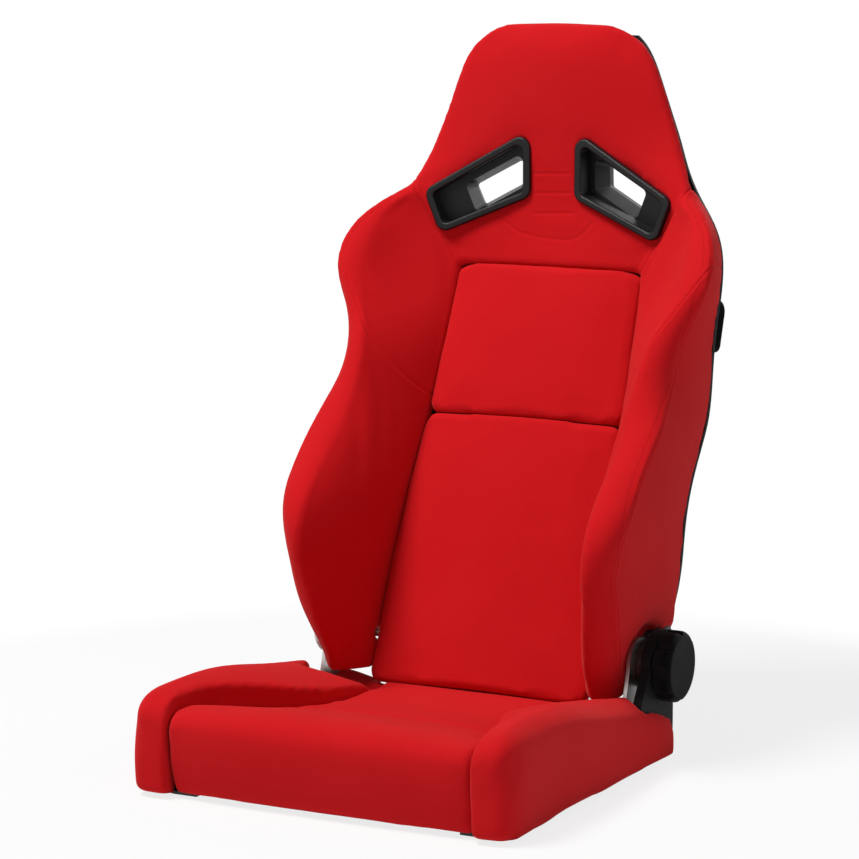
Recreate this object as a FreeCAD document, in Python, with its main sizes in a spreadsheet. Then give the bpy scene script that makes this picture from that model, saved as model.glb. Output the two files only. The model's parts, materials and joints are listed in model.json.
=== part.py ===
import FreeCAD, Part
import math
import os

import Sketcher
from FreeCAD import Placement, Rotation, Vector

# Reclining sports seat. X runs across the seat, the seat faces -Y, Z is up. The origin is the centre
# of the four threaded holes in the underside of the seat's rails, so the rails stand on z = 0.

os.makedirs("parts", exist_ok=True)
doc = FreeCAD.newDocument("SportsSeat")

# Driving sizes in millimetres and degrees
DRIVING = {
    # base rails and mounting holes
    "mountSpanX": 400.0, "mountSpanY": 335.0, "mountCoreRadius": 3.4,
    "railWidth": 36.0, "railHeight": 40.0, "railWall": 3.0, "railFloor": 4.0,
    "railFrontY": -192.0, "railRearY": 252.0,
    "nutWidth": 13.0, "nutHeight": 6.5,
    "crossTubeRadius": 12.5, "crossTubeWall": 2.0, "crossTubeZ": 21.0,
    "frontTubeY": -172.0, "rearTubeY": 188.0,
    "panThickness": 2.0, "panFrontY": -190.0, "panRearY": -62.0,
    "springBarFrontY": 172.0, "springBarRearY": 206.0,
    "springWireRadius": 1.75, "springHalfWidth": 20.0, "springPitch": 22.0, "springSpacing": 84.0,
    "springLap": 12.0, "clipWidth": 16.0, "clipLength": 14.0, "clipWall": 1.6,
    # cushion
    "cushionBottomZ": 4.0, "rollBottomZ": 2.0, "cushionFoamZ": 48.0, "foamGap": 0.7,
    "cushionFrontY": -210.0, "cushionRearY": 226.0, "bolsterRearY": 258.0,
    "skirtInnerX": 232.0, "cushionFrontX": 209.0, "cushionRearX": 134.0,
    "rollTopZ": 110.0, "cushionRearZ": 60.0,
    # backrest reference plane: the foot of the centre pad and its lean from the vertical
    "backFootY": 204.0, "backFootZ": 74.0, "backLean": 22.6,
    "padFootHalf": 156.0, "padTopHalf": 133.0, "padCrease": 367.0, "padTop": 577.0,
    "padDepth": 29.0, "padSideBow": 6.0, "padCrown": 11.0, "padEdge": 13.0, "creaseGap": 1.2,
    "frameDepth": 44.0, "legX": 168.0, "backTubeRadius": 11.0, "backTubeWall": 1.6,
    "lowerTubeS": 100.0, "hoopTopS": 590.0, "hoopBend": 62.0,
    "loopX": 20.0, "loopRadius": 6.0, "loopTopZ": 868.0, "loopTopY": 490.0,
    "matWireRadius": 1.5, "matFirstS": 150.0, "matPitch": 58.0, "matSideX": 96.0,
    "shellThickness": 3.5, "shellClearance": 2.5, "guideLip": 4.0,
    "neckPlaneX": 137.0, "neckPlaneZ": 607.0, "neckSlope": 0.60,
    "wingSeamX": 170.0, "wingSeamZ": 453.0, "wingSeamSlope": 0.79,
    # hinge, recliner and covers
    "hingeY": 241.0, "hingeZ": 124.0,
    "lowerPlateThickness": 5.0, "lowerPlateRadius": 34.0, "lowerPlateFootZ": 4.0,
    "lowerPlateFoot": 68.0,
    "gearDiscRadius": 31.0, "gearHousingThickness": 6.0, "gearDiscThickness": 4.7, "sideGap": 0.3,
    "armThickness": 4.0, "armRadius": 33.0, "pivotBossRadius": 16.0, "upperArmTubeRadius": 17.0,
    "shaftRadius": 5.0, "eccentricRadius": 9.0, "runningClearance": 0.06,
    "coverRadius": 46.0, "coverWall": 2.5, "coverOuterX": 255.5, "coverFrontY": 170.0,
    "coverRearY": 272.0, "coverFootZ": 34.0, "coverGap": 1.2,
    "reclineForward": 5.0, "foldForward": 15.0, "hingeReach": 48.0, "footReach": 65.0,
    "knobRadius": 46.0, "knobFlute": 9.0, "knobFlutes": 8.0, "knobThickness": 23.5, "knobGap": 3.0,
    "hingeBoltRadius": 5.0, "hingeBoltHead": 5.5, "hingeBoltZ": 21.0, "hingeBoltSpan": 40.0,
    # belt guides
    "guideX": 102.0, "guideY": 430.0, "guideZ": 708.0, "guideTurn": 8.4,
    "guideRim": 10.0, "guideWall": 2.5, "guideStep": 22.0, "guideTaper": 6.0, "guideProud": 4.5,
    "guideNeck": 28.0, "guideFlare": 5.0, "guideReach": 40.0,
    # tilt lever
    "leverShare": 0.94, "leverZ": 549.0, "leverLength": 72.0, "leverWidth": 28.0,
    "leverThickness": 8.5, "leverPinRadius": 5.0, "leverLift": 4.0,
}

sheet = doc.addObject("Spreadsheet::Sheet", "Sizes")
for row, (name, value) in enumerate(DRIVING.items(), start=1):
    sheet.set("A%d" % row, name)
    sheet.set("B%d" % row, str(value))
    sheet.setAlias("B%d" % row, name)
doc.recompute()


class Size:
    """A length with the sheet expression that gives it, so that a sketch or box stays bound to the sheet."""

    def __init__(self, value, text):
        self.value = value
        self.text = text

    def combine(self, other, sign, swap=False):
        other = asSize(other)
        first, second = (other, self) if swap else (self, other)
        results = {"+": first.value + second.value, "-": first.value - second.value,
                   "*": first.value * second.value}
        value = first.value / second.value if sign == "/" else results[sign]
        return Size(value, "(%s %s %s)" % (first.text, sign, second.text))

    def __add__(self, other):
        return self.combine(other, "+")

    def __radd__(self, other):
        return self.combine(other, "+", True)

    def __sub__(self, other):
        return self.combine(other, "-")

    def __rsub__(self, other):
        return self.combine(other, "-", True)

    def __mul__(self, other):
        return self.combine(other, "*")

    def __rmul__(self, other):
        return self.combine(other, "*", True)

    def __truediv__(self, other):
        return self.combine(other, "/")

    def __neg__(self):
        return Size(-self.value, "(-1 * %s)" % self.text)

    def __float__(self):
        return float(self.value)


def asSize(value):
    return value if isinstance(value, Size) else Size(float(value), repr(float(value)))


class Sizes:
    pass


d = Sizes()
for name in DRIVING:
    setattr(d, name, Size(float(sheet.get(name)), "Sizes.%s" % name))

parts = []


def subPart(item, label):
    """Names an object and lists it for export."""
    item.Label = label
    parts.append(item)
    return item


def bind(item, **sizes):
    for prop, size in sizes.items():
        item.setExpression(prop.replace("_", "."), asSize(size).text)


def place(item, x=0.0, y=0.0, z=0.0):
    for axis, size in zip("xyz", (x, y, z)):
        item.setExpression("Placement.Base.%s" % axis, asSize(size).text)


# Sketch helpers: every vertex, centre and radius is held to the sheet

def newBody(name):
    return doc.addObject("PartDesign::Body", name)


def sketchOn(body, name, role, offset=0.0):
    sketch = body.newObject("Sketcher::SketchObject", name)
    plane = [f for f in body.Origin.OriginFeatures if f.Role == role][0]
    sketch.AttachmentSupport = (plane, "")
    sketch.MapMode = "FlatFace"
    if asSize(offset).value:
        sketch.setExpression("AttachmentOffset.Base.z", asSize(offset).text)
    return sketch


def holdPoint(sketch, geometry, position, x, y):
    for kind, size in (("DistanceX", x), ("DistanceY", y)):
        size = asSize(size)
        index = sketch.addConstraint(Sketcher.Constraint(kind, -1, 1, geometry, position, size.value))
        sketch.setExpression("Constraints[%d]" % index, size.text)


def polygon(sketch, points):
    points = [(asSize(x), asSize(y)) for x, y in points]
    corners = [Vector(x.value, y.value, 0) for x, y in points]
    first = sketch.GeometryCount
    count = len(corners)
    for i in range(count):
        sketch.addGeometry(Part.LineSegment(corners[i], corners[(i + 1) % count]), False)
    for i in range(count):
        sketch.addConstraint(Sketcher.Constraint("Coincident", first + i, 2, first + (i + 1) % count, 1))
    for i, (x, y) in enumerate(points):
        holdPoint(sketch, first + i, 1, x, y)


def rectangle(sketch, x0, y0, x1, y1):
    polygon(sketch, [(x0, y0), (x1, y0), (x1, y1), (x0, y1)])


def circle(sketch, x, y, radius):
    x, y, radius = asSize(x), asSize(y), asSize(radius)
    index = sketch.addGeometry(Part.Circle(Vector(x.value, y.value, 0), Vector(0, 0, 1), radius.value), False)
    held = sketch.addConstraint(Sketcher.Constraint("Radius", index, radius.value))
    sketch.setExpression("Constraints[%d]" % held, radius.text)
    holdPoint(sketch, index, 3, x, y)


def pad(body, sketch, length, reverse=False):
    feature = body.newObject("PartDesign::Pad", sketch.Name + "Pad")
    feature.Profile = sketch
    feature.Reversed = reverse
    bind(feature, Length=length)
    sketch.Visibility = False
    doc.recompute()
    return feature


def pocket(body, sketch, length, reverse=False):
    doc.recompute()
    before = body.Shape.Volume
    feature = body.newObject("PartDesign::Pocket", sketch.Name + "Pocket")
    feature.Profile = sketch
    feature.Reversed = reverse
    bind(feature, Length=length)
    doc.recompute()
    if body.Shape.Volume >= before - 1e-6:
        raise RuntimeError("pocket %s cut nothing" % feature.Name)
    return feature


def solidPart(name, shape, label=None):
    item = doc.addObject("Part::Feature", name)
    item.Shape = shape
    return subPart(item, label or name)


# Shape helpers for the lofted and cut pieces

def point(x, y, z):
    return Vector(float(x), float(y), float(z))


def line(a, b):
    return Part.LineSegment(a, b).toShape()


def arc(a, middle, b):
    return Part.Arc(a, middle, b).toShape()


def bulge(a, b, rise, toward):
    """Arc from a to b whose middle stands rise off the chord, on the side of the vector toward."""
    chord = b - a
    normal = toward - chord * (toward.dot(chord) / chord.dot(chord))
    normal.normalize()
    return arc(a, (a + b) * 0.5 + normal * rise, b)


def loft(wires):
    return Part.makeLoft(wires, True, False)


def slab(x0, x1, y0, y1, z0, z1):
    return Part.makeBox(float(x1) - float(x0), float(y1) - float(y0), float(z1) - float(z0),
                        point(x0, y0, z0))


def cylinderX(x0, x1, y, z, radius):
    return Part.makeCylinder(float(radius), float(x1) - float(x0), point(x0, y, z), Vector(1, 0, 0))


def mirrored(shape):
    return shape.mirror(Vector(0, 0, 0), Vector(1, 0, 0))


def prism(points, plane, start, length):
    """Straight prism: points are (y, z) for plane X, (x, z) for plane Y."""
    start = float(start)
    if plane == "X":
        corners = [point(start, a, b) for a, b in points]
        direction = Vector(float(length), 0, 0)
    else:
        corners = [point(a, start, b) for a, b in points]
        direction = Vector(0, float(length), 0)
    return Part.Face(Part.makePolygon(corners + corners[:1])).extrude(direction)


def singleSolid(shape):
    """The largest solid of a cut, without the slivers that a cut can leave."""
    return max(shape.Solids, key=lambda solid: solid.Volume)


LEAN = math.radians(d.backLean.value)


def leanPlacement():
    """Backrest frame: X across, Y rearwards from the pad's face, Z up along the lean."""
    return Placement(point(0, d.backFootY, d.backFootZ), Rotation(Vector(1, 0, 0), -d.backLean.value))


def fromBack(x, depth, s):
    """A point of the backrest frame in the seat's frame."""
    return leanPlacement().multVec(point(x, depth, s))


def bindLean(item):
    """Puts a body made in the backrest frame on the seat."""
    item.Placement = leanPlacement()
    item.setExpression("Placement.Base.y", d.backFootY.text)
    item.setExpression("Placement.Base.z", d.backFootZ.text)
    item.setExpression("Placement.Rotation.Angle", "-1 * " + d.backLean.text)


def padFaceY(z):
    """Depth of the backrest's reference plane at a height."""
    return float(d.backFootY) + (z - float(d.backFootZ)) * math.tan(LEAN)


# Where the layers of the hinge lie, from the rail outwards

railOuterX = d.mountSpanX / 2 + d.railWidth / 2
railInnerX = d.mountSpanX / 2 - d.railWidth / 2
housingX = railOuterX + d.lowerPlateThickness
discX = housingX + d.gearHousingThickness + d.sideGap
armX = discX + d.gearDiscThickness
upperArmX = armX + d.armThickness + d.sideGap
upperArmOuterX = upperArmX + d.armThickness
knobX = d.coverOuterX + d.knobGap
SIDES = (("left", -1.0), ("right", 1.0))


def sideX(sign, inner, thickness):
    """Where a plate's low-X face lies on either side of the seat."""
    return inner if sign > 0 else -(inner + thickness)


# Base frame

def makeRail(label, sign):
    body = newBody(label)
    outline = sketchOn(body, label + "Section", "XZ_Plane")
    half = d.railWidth / 2
    rectangle(outline, -half, 0, half, d.railHeight)
    rectangle(outline, -half + d.railWall, d.railFloor, half - d.railWall, d.railHeight - d.railWall)
    pad(body, outline, d.railRearY - d.railFrontY, True)
    holes = sketchOn(body, label + "Holes", "XY_Plane")
    for end in (-1, 1):
        circle(holes, 0, end * d.mountSpanY / 2 - d.railFrontY, d.mountCoreRadius)
    pocket(body, holes, d.railFloor + 1, True)
    place(body, sign * d.mountSpanX / 2, d.railFrontY, 0)
    return subPart(body, label)


def makeNut(name, x, y):
    hexagon = doc.addObject("Part::Prism", name + "Hex")
    hexagon.Polygon = 6
    bind(hexagon, Circumradius=d.nutWidth / math.sqrt(3), Height=d.nutHeight)
    hole = doc.addObject("Part::Cylinder", name + "Core")
    bind(hole, Radius=d.mountCoreRadius, Height=d.nutHeight)
    nut = doc.addObject("Part::Cut", name)
    nut.Base = hexagon
    nut.Tool = hole
    place(nut, x, y, d.railFloor)
    return nut


def makeNuts():
    nuts = []
    for i, sx in enumerate((-1, 1)):
        for j, sy in enumerate((-1, 1)):
            nuts.append(makeNut("Nut%d%d" % (i, j), sx * d.mountSpanX / 2, sy * d.mountSpanY / 2))
    group = doc.addObject("Part::Compound", "MountNuts")
    group.Links = nuts
    return subPart(group, "mount_nuts")


def makeTube(label, radius, wall, x0, x1):
    """Round tube along X, its axis on the body's own X axis."""
    body = newBody(label)
    section = sketchOn(body, label + "Section", "YZ_Plane", x0)
    circle(section, 0, 0, radius)
    circle(section, 0, 0, radius - wall)
    pad(body, section, x1 - x0)
    return subPart(body, label)


def makePlateOnRails(label, y0, y1):
    """Flat steel plate lying on both rails."""
    body = newBody(label)
    outline = sketchOn(body, label + "Outline", "XY_Plane")
    rectangle(outline, -railOuterX, y0, railOuterX, y1)
    pad(body, outline, d.panThickness)
    place(body, 0, 0, d.railHeight)
    return subPart(body, label)


def springPath(x, y0, y1, z):
    """Serpentine wire: straight runs across the seat, half-turn bends, and an end leg at x."""
    radius = float(d.springPitch) / 2
    middle = x + radius
    reach = float(d.springHalfWidth) - radius
    turns = int((y1 - y0 - 4 * radius) // (2 * radius))
    turns -= 1 - turns % 2
    start = (y0 + y1) / 2 - turns * radius
    corner = radius * (1 - math.sqrt(0.5))
    leg = point(x, start - radius, z)
    run = point(middle, start, z)
    edges = [line(point(x, y0, z), leg), arc(leg, point(x + corner, start - corner, z), run)]
    side = 1
    for turn in range(turns):
        y = start + 2 * radius * turn
        low = point(middle + side * reach, y, z)
        high = point(middle + side * reach, y + 2 * radius, z)
        edges.append(line(run, low))
        edges.append(arc(low, point(middle + side * (reach + radius), y + radius, z), high))
        run = high
        side = -side
    end = start + 2 * radius * turns
    bend = point(middle, end, z)
    leg = point(x, end + radius, z)
    edges += [line(run, bend), arc(bend, point(x + corner, end + corner, z), leg), line(leg, point(x, y1, z))]
    return Part.Wire(edges)


def springSeats():
    """Across the seat, where each spring wire runs."""
    return [float(d.springSpacing) * (i - 1.5) for i in range(4)]


def makeSprings():
    z = float(d.railHeight + d.panThickness + d.springWireRadius)
    y0 = float(d.panRearY - d.springLap)
    y1 = float(d.springBarFrontY + d.springLap)
    wires = []
    for x in springSeats():
        path = springPath(x, y0, y1, z)
        ring = Part.Wire(Part.Circle(point(x, y0, z), Vector(0, 1, 0), float(d.springWireRadius)).toShape())
        wires.append(path.makePipeShell([ring], True, False))
    return solidPart("SeatSprings", Part.makeCompound(wires), "seat_springs")


def makeSpringClips():
    """Bent strap over each end of each spring wire."""
    top = float(d.railHeight + d.panThickness)
    inner = 2 * float(d.springWireRadius)
    wall = float(d.clipWall)
    half = float(d.clipWidth) / 2
    clips = []
    for x in springSeats():
        for y in (d.panRearY - d.springLap, d.springBarFrontY + d.springLap - d.clipLength):
            y = float(y)
            long = float(d.clipLength)
            block = slab(x - half, x + half, y, y + long, top, top + inner + wall)
            tunnel = slab(x - half + wall, x + half - wall, y - 1, y + long + 1, top - 1, top + inner)
            clips.append(block.cut(tunnel))
    return solidPart("SpringClips", Part.makeCompound(clips), "spring_clips")


# Cushion

def cushionProfile(x, edge):
    """Side outline of the centre cushion at x: front face, roll, dished seat. edge is 0 mid, 1 at the side."""
    front = float(d.cushionFrontY)
    roll = float(d.rollTopZ) + 6 * (1 - edge * edge)
    seat = float(d.cushionRearZ)
    rear = float(d.cushionRearY)
    low = float(d.rollBottomZ)
    crown = 7 * (1 - edge * edge)
    pull = 5 * edge * edge
    p = [
        point(x, front + pull, low), point(x, front - 15 + pull, roll - 24), point(x, front + 14, roll),
        point(x, front + 60, roll - 4), point(x, front + 190, seat + 18 + crown),
        point(x, rear - 44, seat + 1 + crown), point(x, rear, seat + 14), point(x, rear, low),
    ]
    return Part.Wire([
        arc(p[0], point(x, front - 11 + pull, (low + roll - 24) / 2), p[1]),
        arc(p[1], point(x, front - 9 + pull, roll - 7), p[2]),
        arc(p[2], point(x, front + 37, roll + 0.6), p[3]),
        arc(p[3], point(x, front + 122, (roll + seat + 12 + crown) / 2), p[4]),
        arc(p[4], point(x, front + 291, seat + 6 + crown), p[5]),
        arc(p[5], point(x, rear - 20, seat + 4 + crown), p[6]),
        line(p[6], p[7]), line(p[7], p[0]),
    ])


def cushionSeamX(y):
    """Half-width of the centre cushion along its length: wide at the roll, narrow at the back."""
    front, rear = float(d.cushionFrontX), float(d.cushionRearX)
    start = float(d.cushionFrontY) + 20
    end = start + 250
    if y <= start:
        return front
    if y >= end:
        return rear
    t = (y - start) / (end - start)
    return front + (rear - front) * t * t * (3 - 2 * t)


def seamStations():
    start = float(d.cushionFrontY) + 20
    return [start - 60, start, start + 60, start + 125, start + 190, start + 250, start + 560]


def seamPrism(offset, top):
    """Plan of the centre cushion as an upright prism, offset outwards."""
    right = [(cushionSeamX(y) + offset, y) for y in seamStations()]
    corners = [point(x, y, -10) for x, y in right] + [point(-x, y, -10) for x, y in reversed(right)]
    return Part.Face(Part.makePolygon(corners + corners[:1])).extrude(Vector(0, 0, top))


def underCushion():
    """Space of the rails, springs and pan below the foam."""
    return slab(-d.skirtInnerX, d.skirtInnerX, d.railFrontY - 2, d.bolsterRearY + 60, -20, d.cushionFoamZ)


def makeCushionPad():
    wires = []
    for x, edge in ((-212, 1.0), (-140, 0.62), (0, 0.0), (140, 0.62), (212, 1.0)):
        wires.append(cushionProfile(x, edge))
    shape = loft(wires).common(seamPrism(-float(d.foamGap) / 2, 300)).cut(underCushion())
    shape = shape.cut(cylinderX(-300, 300, d.hingeY, d.hingeZ, d.footReach + 1.2))
    return solidPart("CushionPad", singleSolid(shape), "cushion_centre_pad")


def bolsterWire(y, seamX, ridgeX, ridgeZ, outerX, inset=0.0):
    """Upright cross-section of a cushion bolster: inner slope, crowned ridge, drawn-in outer side."""
    share = (y - float(d.cushionFrontY)) / float(d.bolsterRearY - d.cushionFrontY)
    low = float(d.cushionBottomZ) + inset + 1 - 4.5 * share
    crest = ridgeZ - inset
    outer = outerX - inset
    seam = seamX + inset
    drop = 12 + 0.16 * ridgeZ
    p = [point(seam, y, low), point(seam, y, crest - drop), point(ridgeX - 3, y, crest - 1),
         point(outer - 3, y, crest - 21), point(outer, y, low)]
    return Part.Wire([
        line(p[0], p[1]),
        bulge(p[1], p[2], 1.5, Vector(-1, 0, 1)),
        bulge(p[2], p[3], 5.5, Vector(1, 0, 1)),
        bulge(p[3], p[4], 3.0, Vector(1, 0, 0)),
        line(p[4], p[0]),
    ])


def hingeSpace():
    """What the lower plate, its bolts and the cover take out of the cushion's rear corner."""
    gap = float(d.coverGap)
    plate = float(d.railRearY - d.lowerPlateFoot) - 5
    cover = float(d.coverFrontY) - 5
    middle = float(upperArmOuterX)
    outer = float(d.coverOuterX) + gap
    inner = slab(float(railOuterX) - gap, middle, plate, 400, -20, 300)
    return inner.fuse(slab(middle - 1, outer, cover, 400, -20, 300))


def makeCushionBolster(label, sign):
    front = float(d.cushionFrontY)
    stations = [
        (front - 15, 240, 110, 250, 9.0), (front - 9, 239, 119, 256, 2.5), (front + 6, 238, 128, 259, 0.0),
        (front + 45, 237, 136, 261, 0.0), (front + 110, 236, 137, 262, 0.0), (front + 190, 236, 130, 264, 0.0),
        (front + 285, 235, 113, 265, 0.0), (front + 380, 234, 97, 265.5, 0.0),
        (front + 435, 234, 83, 265.5, 0.0), (float(d.bolsterRearY), 236, 68, 265.5, 0.0),
    ]
    wires = [bolsterWire(y, 120 if inset == 0 else 121, rx, rz, ox, inset) for y, rx, rz, ox, inset in stations]
    between = float(d.padFootHalf) + 2.5
    inner = slab(-300, between, d.cushionRearY, d.bolsterRearY + 60, -20, 200)
    round = cylinderX(-300, between, d.hingeY, d.hingeZ, d.footReach + 1.2)
    shape = loft(wires).cut(seamPrism(float(d.foamGap) / 2, 300)).cut(underCushion())
    shape = shape.cut(inner).cut(hingeSpace()).cut(footRoom()).cut(round)
    shape = singleSolid(shape)
    return solidPart(label, shape if sign > 0 else mirrored(shape))


# Backrest padding. Each station is a level cut: the crest's inner tangent, the seam corner, the rear edge.

WING = [
    # z, inner x, inner y, corner x, corner y, rear x, rear y, rise of the inner face
    (80, 190, 170, 208, 191, 204, 208, 2), (84, 190, 165, 212, 195, 209, 215, 3),
    (90, 189, 160, 214, 197, 211, 224, 4), (100, 188, 155, 215, 195, 211, 240, 4),
    (110, 188, 150, 216, 192, 212, 256, 5), (146, 191, 130, 224, 174, 227, 332, 6),
    (186, 195, 116, 232, 151, 235, 334, 6), (220, 199, 106, 235, 140, 240, 331, 6),
    (256, 202, 96, 236, 131, 244, 328, 7),
    (316, 203, 112, 247, 140, 250, 328, 7), (376, 202, 175, 249, 184, 250, 363, 6),
    (436, 200, 238, 246, 255, 247, 406, 4), (496, 202, 268, 239, 310, 246, 418, 1),
    (546, 214, 298, 250, 322, 257, 401, -5), (606, 234, 332, 272, 332, 269, 389, -10),
    (656, 229, 370, 266, 358, 256, 409, -10), (690, 206, 405, 237, 394, 229, 434, -3),
    (704, 186, 419, 217, 417, 214, 446, 1), (716, 184, 432, 206, 431, 203, 450, 1),
]

SHELL = [
    # z, edge x, edge y, centre y
    (118, 205, 280, 336), (146, 217, 326, 352), (186, 230, 336, 364), (220, 238, 333, 377),
    (256, 243.5, 329, 391), (316, 249.5, 329, 421), (376, 249.5, 364, 444), (436, 246.5, 407, 467),
    (496, 245.5, 419, 490), (546, 257, 402, 510), (606, 268.5, 390, 520), (656, 255.5, 410, 511),
    (704, 213, 448, 499), (741, 187, 466, 496), (796, 165, 475, 500), (856, 142, 478, 503),
    (898, 122, 480, 502), (915, 106, 482, 500),
]

HEAD = [
    # z, half-width, front centre y, front edge y, back edge y, back centre y
    (570, 160, 410, 408, 440, 443), (607, 168, 425, 423, 455, 459), (656, 196, 437, 421, 456, 475),
    (704, 208, 441, 419, 444, 488), (741, 195, 440, 434, 463, 488), (796, 175, 438, 447, 472, 491),
    (856, 153, 438, 450, 475, 494), (898, 132, 441, 452, 477, 494), (916, 112, 445, 453, 476, 490),
    (927, 91, 449, 454, 470, 479), (932, 73, 457, 460, 467, 471),
]


def shellY(station, x, offset=0.0):
    """Depth of the back shell's outer arc at x, moved outwards by offset."""
    z, edgeX, edgeY, centreY = station
    rise = centreY - edgeY
    radius = (edgeX * edgeX + rise * rise) / (2 * rise)
    moved = radius + offset
    return centreY - radius + math.sqrt(max(moved * moved - x * x, 0.0))


def shellArc(station, offset):
    """Outer arc of the shell, moved outwards by offset, as its two ends and middle."""
    z, edgeX, edgeY, centreY = station
    rise = centreY - edgeY
    radius = (edgeX * edgeX + rise * rise) / (2 * rise)
    scale = (radius + offset) / radius
    middle = centreY - radius
    x = edgeX * scale
    y = middle + (edgeY - middle) * scale
    return point(-x, y, z), point(0, centreY + offset, z), point(x, y, z)


def shellBand(inner, outer):
    """Lofted skin between two offsets of the shell's outer face."""
    wires = []
    for station in SHELL:
        a, b, c = shellArc(station, outer)
        e, f, g = shellArc(station, inner)
        wires.append(Part.Wire([arc(a, b, c), line(c, g), arc(g, f, e), line(e, a)]))
    return loft(wires)


def shellEnvelope(offset):
    """Everything in front of an offset of the shell's outer face, as one solid."""
    wires = []
    for station in SHELL:
        a, b, c = shellArc(station, offset)
        front = 260.0
        p, q = point(c.x, a.y - front, station[0]), point(a.x, a.y - front, station[0])
        wires.append(Part.Wire([arc(a, b, c), line(c, p), line(p, q), line(q, a)]))
    return loft(wires)


def padHalf(s):
    """Half-width of the centre pads at a height along the lean."""
    share = min(max(s / float(d.padCrease), 0.0), 1.0)
    straight = float(d.padFootHalf) + (float(d.padTopHalf) - float(d.padFootHalf)) * s / float(d.padTop)
    return straight + 4 * float(d.padSideBow) * share * (1 - share)


def wingWire(station):
    z, innerX, innerY, cornerX, cornerY, rearX, rearY, rise = station
    slope = math.cos(LEAN)
    s = min((z - float(d.backFootZ)) / slope, float(d.padTop))
    rootX = padHalf(max(s, 0)) + 2 * float(d.foamGap)
    faceY = min(padFaceY(z) + 6, 426 + 0.17 * (z - 607)) if z > 590 else padFaceY(z) + 6
    backY = min(padFaceY(z), 430 + 0.2 * (z - 607)) + (float(d.padDepth) + 1) / slope
    legOuter = float(d.legX + d.backTubeRadius) + 4
    clear = float(d.shellThickness + d.shellClearance)
    shell = [row for row in SHELL if row[0] == z]
    if shell and rearX - 8 > legOuter:
        edge = point(rearX - 6.5, rearY, z)
        outer = point(legOuter, shellY(shell[0], legOuter, -clear), z)
        midX = (rearX - 6.5 + legOuter) / 2
        middle = point(midX, shellY(shell[0], midX, -clear - 1), z)
    else:
        edge = point(rearX - 4, rearY + 0.5, z)
        outer = point(min(legOuter, rearX - 10), max(rearY + 4, (rearY + backY) / 2), z)
        middle = (edge + outer) * 0.5 + Vector(0.4, 0.8, 0)
    root = point(outer.x - 2, min(backY, outer.y - 2) if z > 120 else outer.y + 4, z)
    corner = point(cornerX, cornerY, z)
    inner = point(innerX, innerY, z)
    bow = min(0.24, max(0.12, 0.12 + 0.0009 * (z - 186)))
    crest = (inner + corner) * 0.5 + Vector(0.25, -1, 0).normalize() * bow * (corner - inner).Length
    side = (corner + point(rearX, rearY, z)) * 0.5 + Vector(2.5, 0, 0)
    rootFront = point(rootX, faceY, z)
    rootBack = point(rootX, max(root.y, faceY + 8), z)
    return Part.Wire([
        bulge(rootFront, inner, abs(rise), Vector(-1, 0, 0) if rise > 0 else Vector(1, 0.3, 0)),
        arc(inner, crest, corner),
        arc(corner, side, point(rearX, rearY, z)),
        line(point(rearX, rearY, z), edge),
        arc(edge, middle, outer),
        line(outer, root), line(root, rootBack), line(rootBack, rootFront),
    ])


def wingSeamSpace(above):
    """Half-space above or below the sewn diagonal seam of a wing."""
    gap = float(d.foamGap) / 2
    slope = float(d.wingSeamSlope)
    lift = gap * math.hypot(1, slope) * (1 if above else -1)
    z = float(d.wingSeamZ) + lift
    x = float(d.wingSeamX)
    far = 1200 if above else -1200
    return prism([(x - 200, z - 200 * slope), (x + 300, z + 300 * slope), (x + 300, z + far),
                  (x - 200, z + far)], "Y", -200, 1200)


def neckSpace(outside):
    """Half-space outside or inside the seam between the headrest pad and a shoulder."""
    slope = float(d.neckSlope)
    shift = float(d.foamGap) / 2 * math.hypot(1, slope) * (1 if outside else -1)
    x = float(d.neckPlaneX) + shift
    z = float(d.neckPlaneZ)
    far = 600 if outside else -600
    return prism([(x - 300 * slope, z - 300), (x + 500 * slope, z + 500), (x + 500 * slope + far, z + 500),
                  (x - 300 * slope + far, z - 300)], "Y", -200, 1200)


def shaftRoom():
    """Channel for the cross shaft, open towards the back."""
    room = float(d.shaftRadius) + 1.5
    slot = slab(-300, 300, 0, 60, -room, room)
    slot.Placement = Placement(point(0, d.hingeY, d.hingeZ), Rotation(Vector(1, 0, 0), -d.backLean.value))
    return slot.fuse(cylinderX(-300, 300, d.hingeY, d.hingeZ, room))


def footRoom():
    """Space under the wings' feet that the backrest sweeps as it tips forward."""
    gap = 2.5
    above = 300.0
    front = [(row[2] - gap, row[0] - gap) for row in WING[:8]]
    rear = [(row[6] + gap, row[0] - gap) for row in WING[:4]]
    side = [(rear[-1][0], above), (front[-1][0], above)] + front[::-1] + rear
    steps = 5
    rooms = []
    for step in range(steps + 1):
        room = prism(side, "X", 0, float(railOuterX) + 5)
        turn = float(d.reclineForward + d.foldForward) * step / steps
        room.rotate(point(0, d.hingeY, d.hingeZ), Vector(1, 0, 0), turn)
        rooms.append(room)
    return rooms[0].fuse(rooms[1:])


def makeWing():
    """One side of the backrest's padding, before it is parted at its seams."""
    shape = loft([wingWire(station) for station in WING])
    tube = fromBack(0, d.frameDepth, d.lowerTubeS)
    shape = shape.cut(shellBand(-float(d.shellThickness) - 0.6, 2.0))
    inside = float(d.legX - d.backTubeRadius) - 20
    shape = shape.cut(cylinderX(inside, 300, tube.y, tube.z, float(d.backTubeRadius) + 2))
    shape = shape.cut(cylinderX(float(railOuterX) - 2, 300, d.hingeY, d.hingeZ, d.hingeReach))
    return shape.cut(shaftRoom())


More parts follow.
